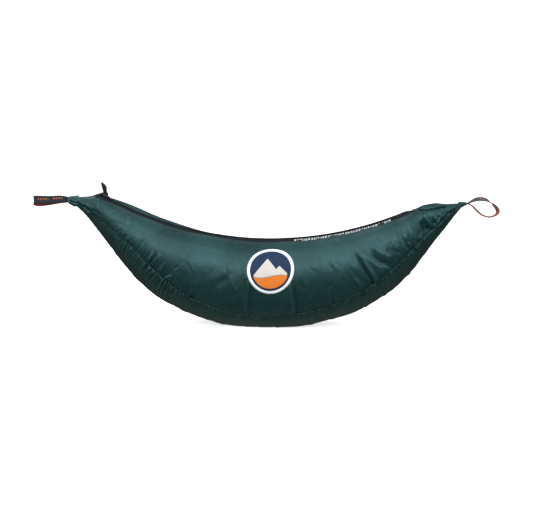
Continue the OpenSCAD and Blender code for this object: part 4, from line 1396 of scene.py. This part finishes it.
# right loop: x, z of the centre line, half width, twist (degrees; + turns the near edge inwards)
RT = 198.8
right = smooth_path([
    (314.8, 0, RT + 0.75, 2.9, 0), (318, 0, RT + 0.75, 2.9, 0), (321.5, 0, RT + 0.8, 3.2, 2), (325, 0, RT + 1.1, 4.0, 8), (331, 0, 203.0, 5.4, 15), (336, 0, 205.2, 6.2, 19),
    (342, 0, 206.2, 6.5, 21), (348, 0, 206.1, 6.5, 20), (354, 0, 204.3, 6.5, 12), (360, 0, 200.6, 6.5, -2), (365, 0, 196.4, 6.5, -18),
    (369.2, 0, 191.6, 6.4, -26), (371.0, 0, 187.0, 6.3, -24), (369.4, 0, 182.8, 6.3, -12), (365, 0, 179.7, 6.5, -4), (359, 0, 178.1, 6.5, -2), (353, 0, 178.6, 6.5, -2), (347, 0, 180.9, 6.4, -5),
    (342, 0, 184.3, 6.2, -9), (337, 0, 189.0, 5.8, -11), (332, 0, 194.2, 5.2, -9), (328, 0, 197.0, 4.2, -4), (324.4, 0, RT - 0.85, 3.6, 0), (321.5, 0, RT - 0.8, 3.2, 0), (318, 0, RT - 0.75, 2.9, 0), (314.8, 0, RT - 0.75, 2.9, 0)], 170)
Cr = np.stack([right[:, 0], 0 * right[:, 0], right[:, 2]], 1)
Tr = np.gradient(Cr, axis=0)
Tr /= np.linalg.norm(Tr, axis=1, keepdims=True)
outn = np.cross(Tr, [0, 1, 0]) * -1
if outn[40, 2] < 0:
    outn = -outn
tw = np.radians(right[:, 4])[:, None]
Wr = np.array([0, 1.0, 0])[None] * np.cos(tw) + outn * np.sin(tw)
ribbon("right_loop_strap", Cr, Wr, right[:, 3], 1.2,
       ("right_webbing_tail", "right_webbing_loop"), (0.22, 0.38), flip=True)


# ------------------------------------------------------------------ bar tacks: close zigzags of thread
def bar_tack(name, x, half_z, cz, ys, width, node, r=0.00024):
    parts = []
    for s in (-1, 1):
        k = 30
        zz = np.linspace(-half_z, half_z, k)
        pts = []
        for i, z in enumerate(zz):
            pts.append((x + (width / 2 if i % 2 else -width / 2), s * (ys - 0.9 * (z / half_z) ** 2), cz + z))
        pts = smooth_path(pts, k * 5)
        parts.append(tube(pts * MM, r, 6))
    V, F_ = join(parts)
    ob = make(name, V, F_, M["thread_tack"])
    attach(ob, "root")
    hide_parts(node)


bar_tack("left_tack", -309.0, 4.6, 198.2, 8.6, 1.8, "left_bar_tack")
bar_tack("right_tack", 317.0, 2.6, 198.4, 6.2, 1.5, "right_bar_tack")


# ------------------------------------------------------------------ inside: bindings and the folded quilt
def inward(p, d):
    c = np.stack([p[..., 0], 0 * p[..., 1], mid_half(p[..., 0])[0]], -1) - p
    q = p + c * (d / np.maximum(np.linalg.norm(c, axis=-1, keepdims=True), 1e-6))
    low = p[..., 2] < d
    q[..., 2] = np.where(low, np.maximum(p[..., 2] + d, q[..., 2]), q[..., 2])
    return q


for s, name, node in ((-1, "front_binding_strip", "front_seam_binding"), (1, "back_binding_strip", "back_seam_binding")):
    xs = np.linspace(-280, 292, 150)
    G = []
    for x in xs:
        a = float(seam_a(x)) + np.radians(np.linspace(-7, 7, 9)) * 55 / (float(at(P, x, 2)) + 15)
        G.append(inward(skin(np.full(9, x), a, s), 4.2))
    G = np.array(G)
    nn = normals(G)
    G += nn * (0.25 * np.sin(np.arange(150) * 1.1)[:, None] * np.ones((1, 9)))[..., None]
    ob = make(name, G.reshape(-1, 3) * MM, grid_faces(150, 9, flip=not outward(G)), M["gusset"], uv=grid_uv(G), attrs={"relief": np.zeros(150 * 9)})
    solidify(ob, 0.0007)
    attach(ob, "root")
    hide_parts(node)


def fold_line():
    def turn(cx, cy, a0, a1, n):
        t = np.radians(np.linspace(a0, a1, n + 1))
        return [(cx + 0.25 * math.cos(q), cy + 0.25 * math.sin(q)) for q in t]
    def run(x0, x1, y, n):
        return [(x, y) for x in np.linspace(x0, x1, n)]
    L = run(0.92, -0.45, -0.75, 14) + turn(-0.5, -0.5, 270, 90, 14) + run(-0.4, 0.4, -0.25, 9) + turn(0.5, 0, -90, 90, 14)
    L += run(0.4, -0.4, 0.25, 9) + turn(-0.5, 0.5, 270, 90, 14) + run(-0.45, 0.92, 0.75, 14)
    return np.array(L)


FL = fold_line()
FT = np.gradient(FL, axis=0)
FT /= np.linalg.norm(FT, axis=1, keepdims=True)
FN = np.stack([-FT[:, 1], FT[:, 0]], 1)


def quilt_grid(d, dimple=0.0):
    xs = np.linspace(-258, 266, 90)
    w = at(P, xs, 2) - 6
    t, b = top_z(xs) - 7, np.maximum(at(P, xs, 1), 0) + 5
    q = FL[None] + FN[None] * (d - np.sign(d) * dimple * (0.5 + 0.5 * np.cos(2 * np.pi * xs / 52))[:, None, None] ** 6)
    X = np.repeat(xs[:, None], len(FL), 1)
    Y = w[:, None] * q[..., 0] * np.sqrt(np.maximum(1 - q[..., 1] ** 2 / 2, 0.05))
    Z = ((t + b) / 2)[:, None] + ((t - b) / 2)[:, None] * q[..., 1] * np.sqrt(np.maximum(1 - q[..., 0] ** 2 / 2, 0.05))
    return np.stack([X, Y, Z], -1)


def quilt_cloth(name, d, node, mat):
    G = quilt_grid(d, 0.05)
    ob = make(name, G.reshape(-1, 3) * MM, grid_faces(*G.shape[:2]), M[mat], uv=grid_uv(G), attrs={"relief": np.zeros(G.shape[0] * G.shape[1])})
    solidify(ob, 0.0003, 0.0)
    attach(ob, "root")
    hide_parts(node)


A_, B_ = quilt_grid(0.19, 0.05), quilt_grid(-0.19, 0.05)
n_, m_ = A_.shape[:2]
k_ = n_ * m_
F_ = grid_faces(n_, m_).tolist() + (grid_faces(n_, m_, flip=True) + k_).tolist()
idx = np.arange(k_).reshape(n_, m_)
rim = np.concatenate([idx[0, :-1], idx[:-1, -1], idx[-1, :0:-1], idx[:0:-1, 0]])
for i in range(len(rim)):
    p_, q_ = int(rim[i]), int(rim[(i + 1) % len(rim)])
    F_.append([p_, q_, q_ + k_, p_ + k_])
ob = make("quilt_insulation_wadding", np.vstack([A_.reshape(-1, 3), B_.reshape(-1, 3)]) * MM, F_, M["quilt_fill"],
          uv=np.vstack([grid_uv(A_), grid_uv(B_)]))
bm_normals(ob)
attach(ob, "root")
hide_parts("quilt_insulation")
quilt_cloth("quilt_face_cloth", 0.215, "quilt_face_fabric", "quilt_face")
quilt_cloth("quilt_lining_cloth", -0.215, "quilt_lining", "quilt_lining")

# ------------------------------------------------------------------ studio: a wide pale floor, a big softbox above and in front, soft fill
V, F_ = [], []
prof = [(0.0005, 0.0), (0.5, 0.0), (1.2, 0.0), (2.5, 0.0), (5.0, 0.0), (10.0, 0.0), (40.0, 0.0)]
seg = 72
for i, (r, z) in enumerate(prof):
    for j in range(seg):
        t = 2 * math.pi * j / seg
        V.append((r * math.cos(t), r * math.sin(t), z - 0.0001))
F_ = grid_faces(len(prof), seg, close_m=True).tolist() + [list(range(seg))]
N = Nodes("floor_sweep")
c = N.mix(N.remap(N.noise(N.obj(), 3.0, 2.0), 0.3, 0.7, 0.0, 1.0), (0.80, 0.80, 0.80, 1), (0.815, 0.815, 0.81, 1))
floor = make("floor_sweep", V, F_, N.principled(c, 0.9, **{"Specular IOR Level": 0.0, "Emission Color": (1, 1, 1, 1), "Emission Strength": 0.72}))
bm_normals(floor)
floor.visible_diffuse = floor.visible_glossy = False

world = bpy.data.worlds.new("studio")
scene.world = world
world.use_nodes = True
wt = world.node_tree
wt.nodes.clear()
wo = wt.nodes.new("ShaderNodeOutputWorld")
geo, sep = wt.nodes.new("ShaderNodeTexCoord"), wt.nodes.new("ShaderNodeSeparateXYZ")
wt.links.new(geo.outputs["Generated"], sep.inputs[0])
half = wt.nodes.new("ShaderNodeMath")
half.operation = "MULTIPLY_ADD"
half.inputs[1].default_value = half.inputs[2].default_value = 0.5
wt.links.new(sep.outputs[2], half.inputs[0])
behind = wt.nodes.new("ShaderNodeMapRange")
behind.interpolation_type = "SMOOTHSTEP"
behind.inputs["From Min"].default_value, behind.inputs["From Max"].default_value = -0.35, 0.35
wt.links.new(sep.outputs[1], behind.inputs["Value"])
both = wt.nodes.new("ShaderNodeMix")
both.data_type = "RGBA"
wt.links.new(behind.outputs[0], both.inputs[0])
for sky, slot_ in ((SKY_FRONT, 6), (SKY_BACK, 7)):
    updown = wt.nodes.new("ShaderNodeValToRGB")
    wt.links.new(half.outputs[0], updown.inputs[0])
    el = updown.color_ramp.elements
    while len(el) < len(sky):
        el.new(0.5)
    for i, (z, v) in enumerate(sky):
        el[i].position = (z + 1) / 2
        el[i].color = tuple(c / 3.0 for c in v) + (1,)
    wt.links.new(updown.outputs[0], both.inputs[slot_])
soft, white, pick = wt.nodes.new("ShaderNodeBackground"), wt.nodes.new("ShaderNodeBackground"), wt.nodes.new("ShaderNodeMixShader")
wt.links.new(both.outputs[2], soft.inputs[0])
soft.inputs[1].default_value = 3.0
white.inputs[0].default_value = (1, 1, 1, 1)
white.inputs[1].default_value = 1.05
wt.links.new(wt.nodes.new("ShaderNodeLightPath").outputs["Is Camera Ray"], pick.inputs[0])
wt.links.new(soft.outputs[0], pick.inputs[1])
wt.links.new(white.outputs[0], pick.inputs[2])
wt.links.new(pick.outputs[0], wo.inputs[0])


def softbox(name, loc, aim_at, sx, sy, watts):
    d = bpy.data.lights.new(name, "AREA")
    d.shape, d.size, d.size_y, d.energy = "RECTANGLE", sx, sy, watts
    o = bpy.data.objects.new(name, d)
    scene.collection.objects.link(o)
    o.location = loc
    o.rotation_mode = "QUATERNION"
    o.rotation_quaternion = (Vector(aim_at) - Vector(loc)).to_track_quat("-Z", "Y")
    o.visible_camera = False
    return o


def from_front(name, up, watts, deep=0.45):
    """A wide softbox in front, a given number of degrees up."""
    a = math.radians(up)
    softbox(name, (-0.15, -1.9 * math.cos(a), 0.12 + 1.9 * math.sin(a)), (0.0, 0.0, 0.12), 1.7, deep, watts)


from_front("key_low", 30, 4.1)
from_front("key_mid", 50, 2.4)
from_front("key_high", 60, 2.2)
from_front("key_top", 70, 4.9)
softbox("top", (0.1, 0.18, 2.21), (0.0, 0.0, 0.12), 2.4, 0.8, 2.5)
softbox("front", (0.5, -3.0, 1.35), (0.0, 0.0, 0.12), 2.4, 1.4, 20)
softbox("rear_left", (-1.8, 1.3, 2.8), (0.0, 0.0, 0.12), 1.6, 1.2, 20)
softbox("rear_right", (1.8, 1.3, 2.8), (0.0, 0.0, 0.12), 1.6, 1.2, 20)
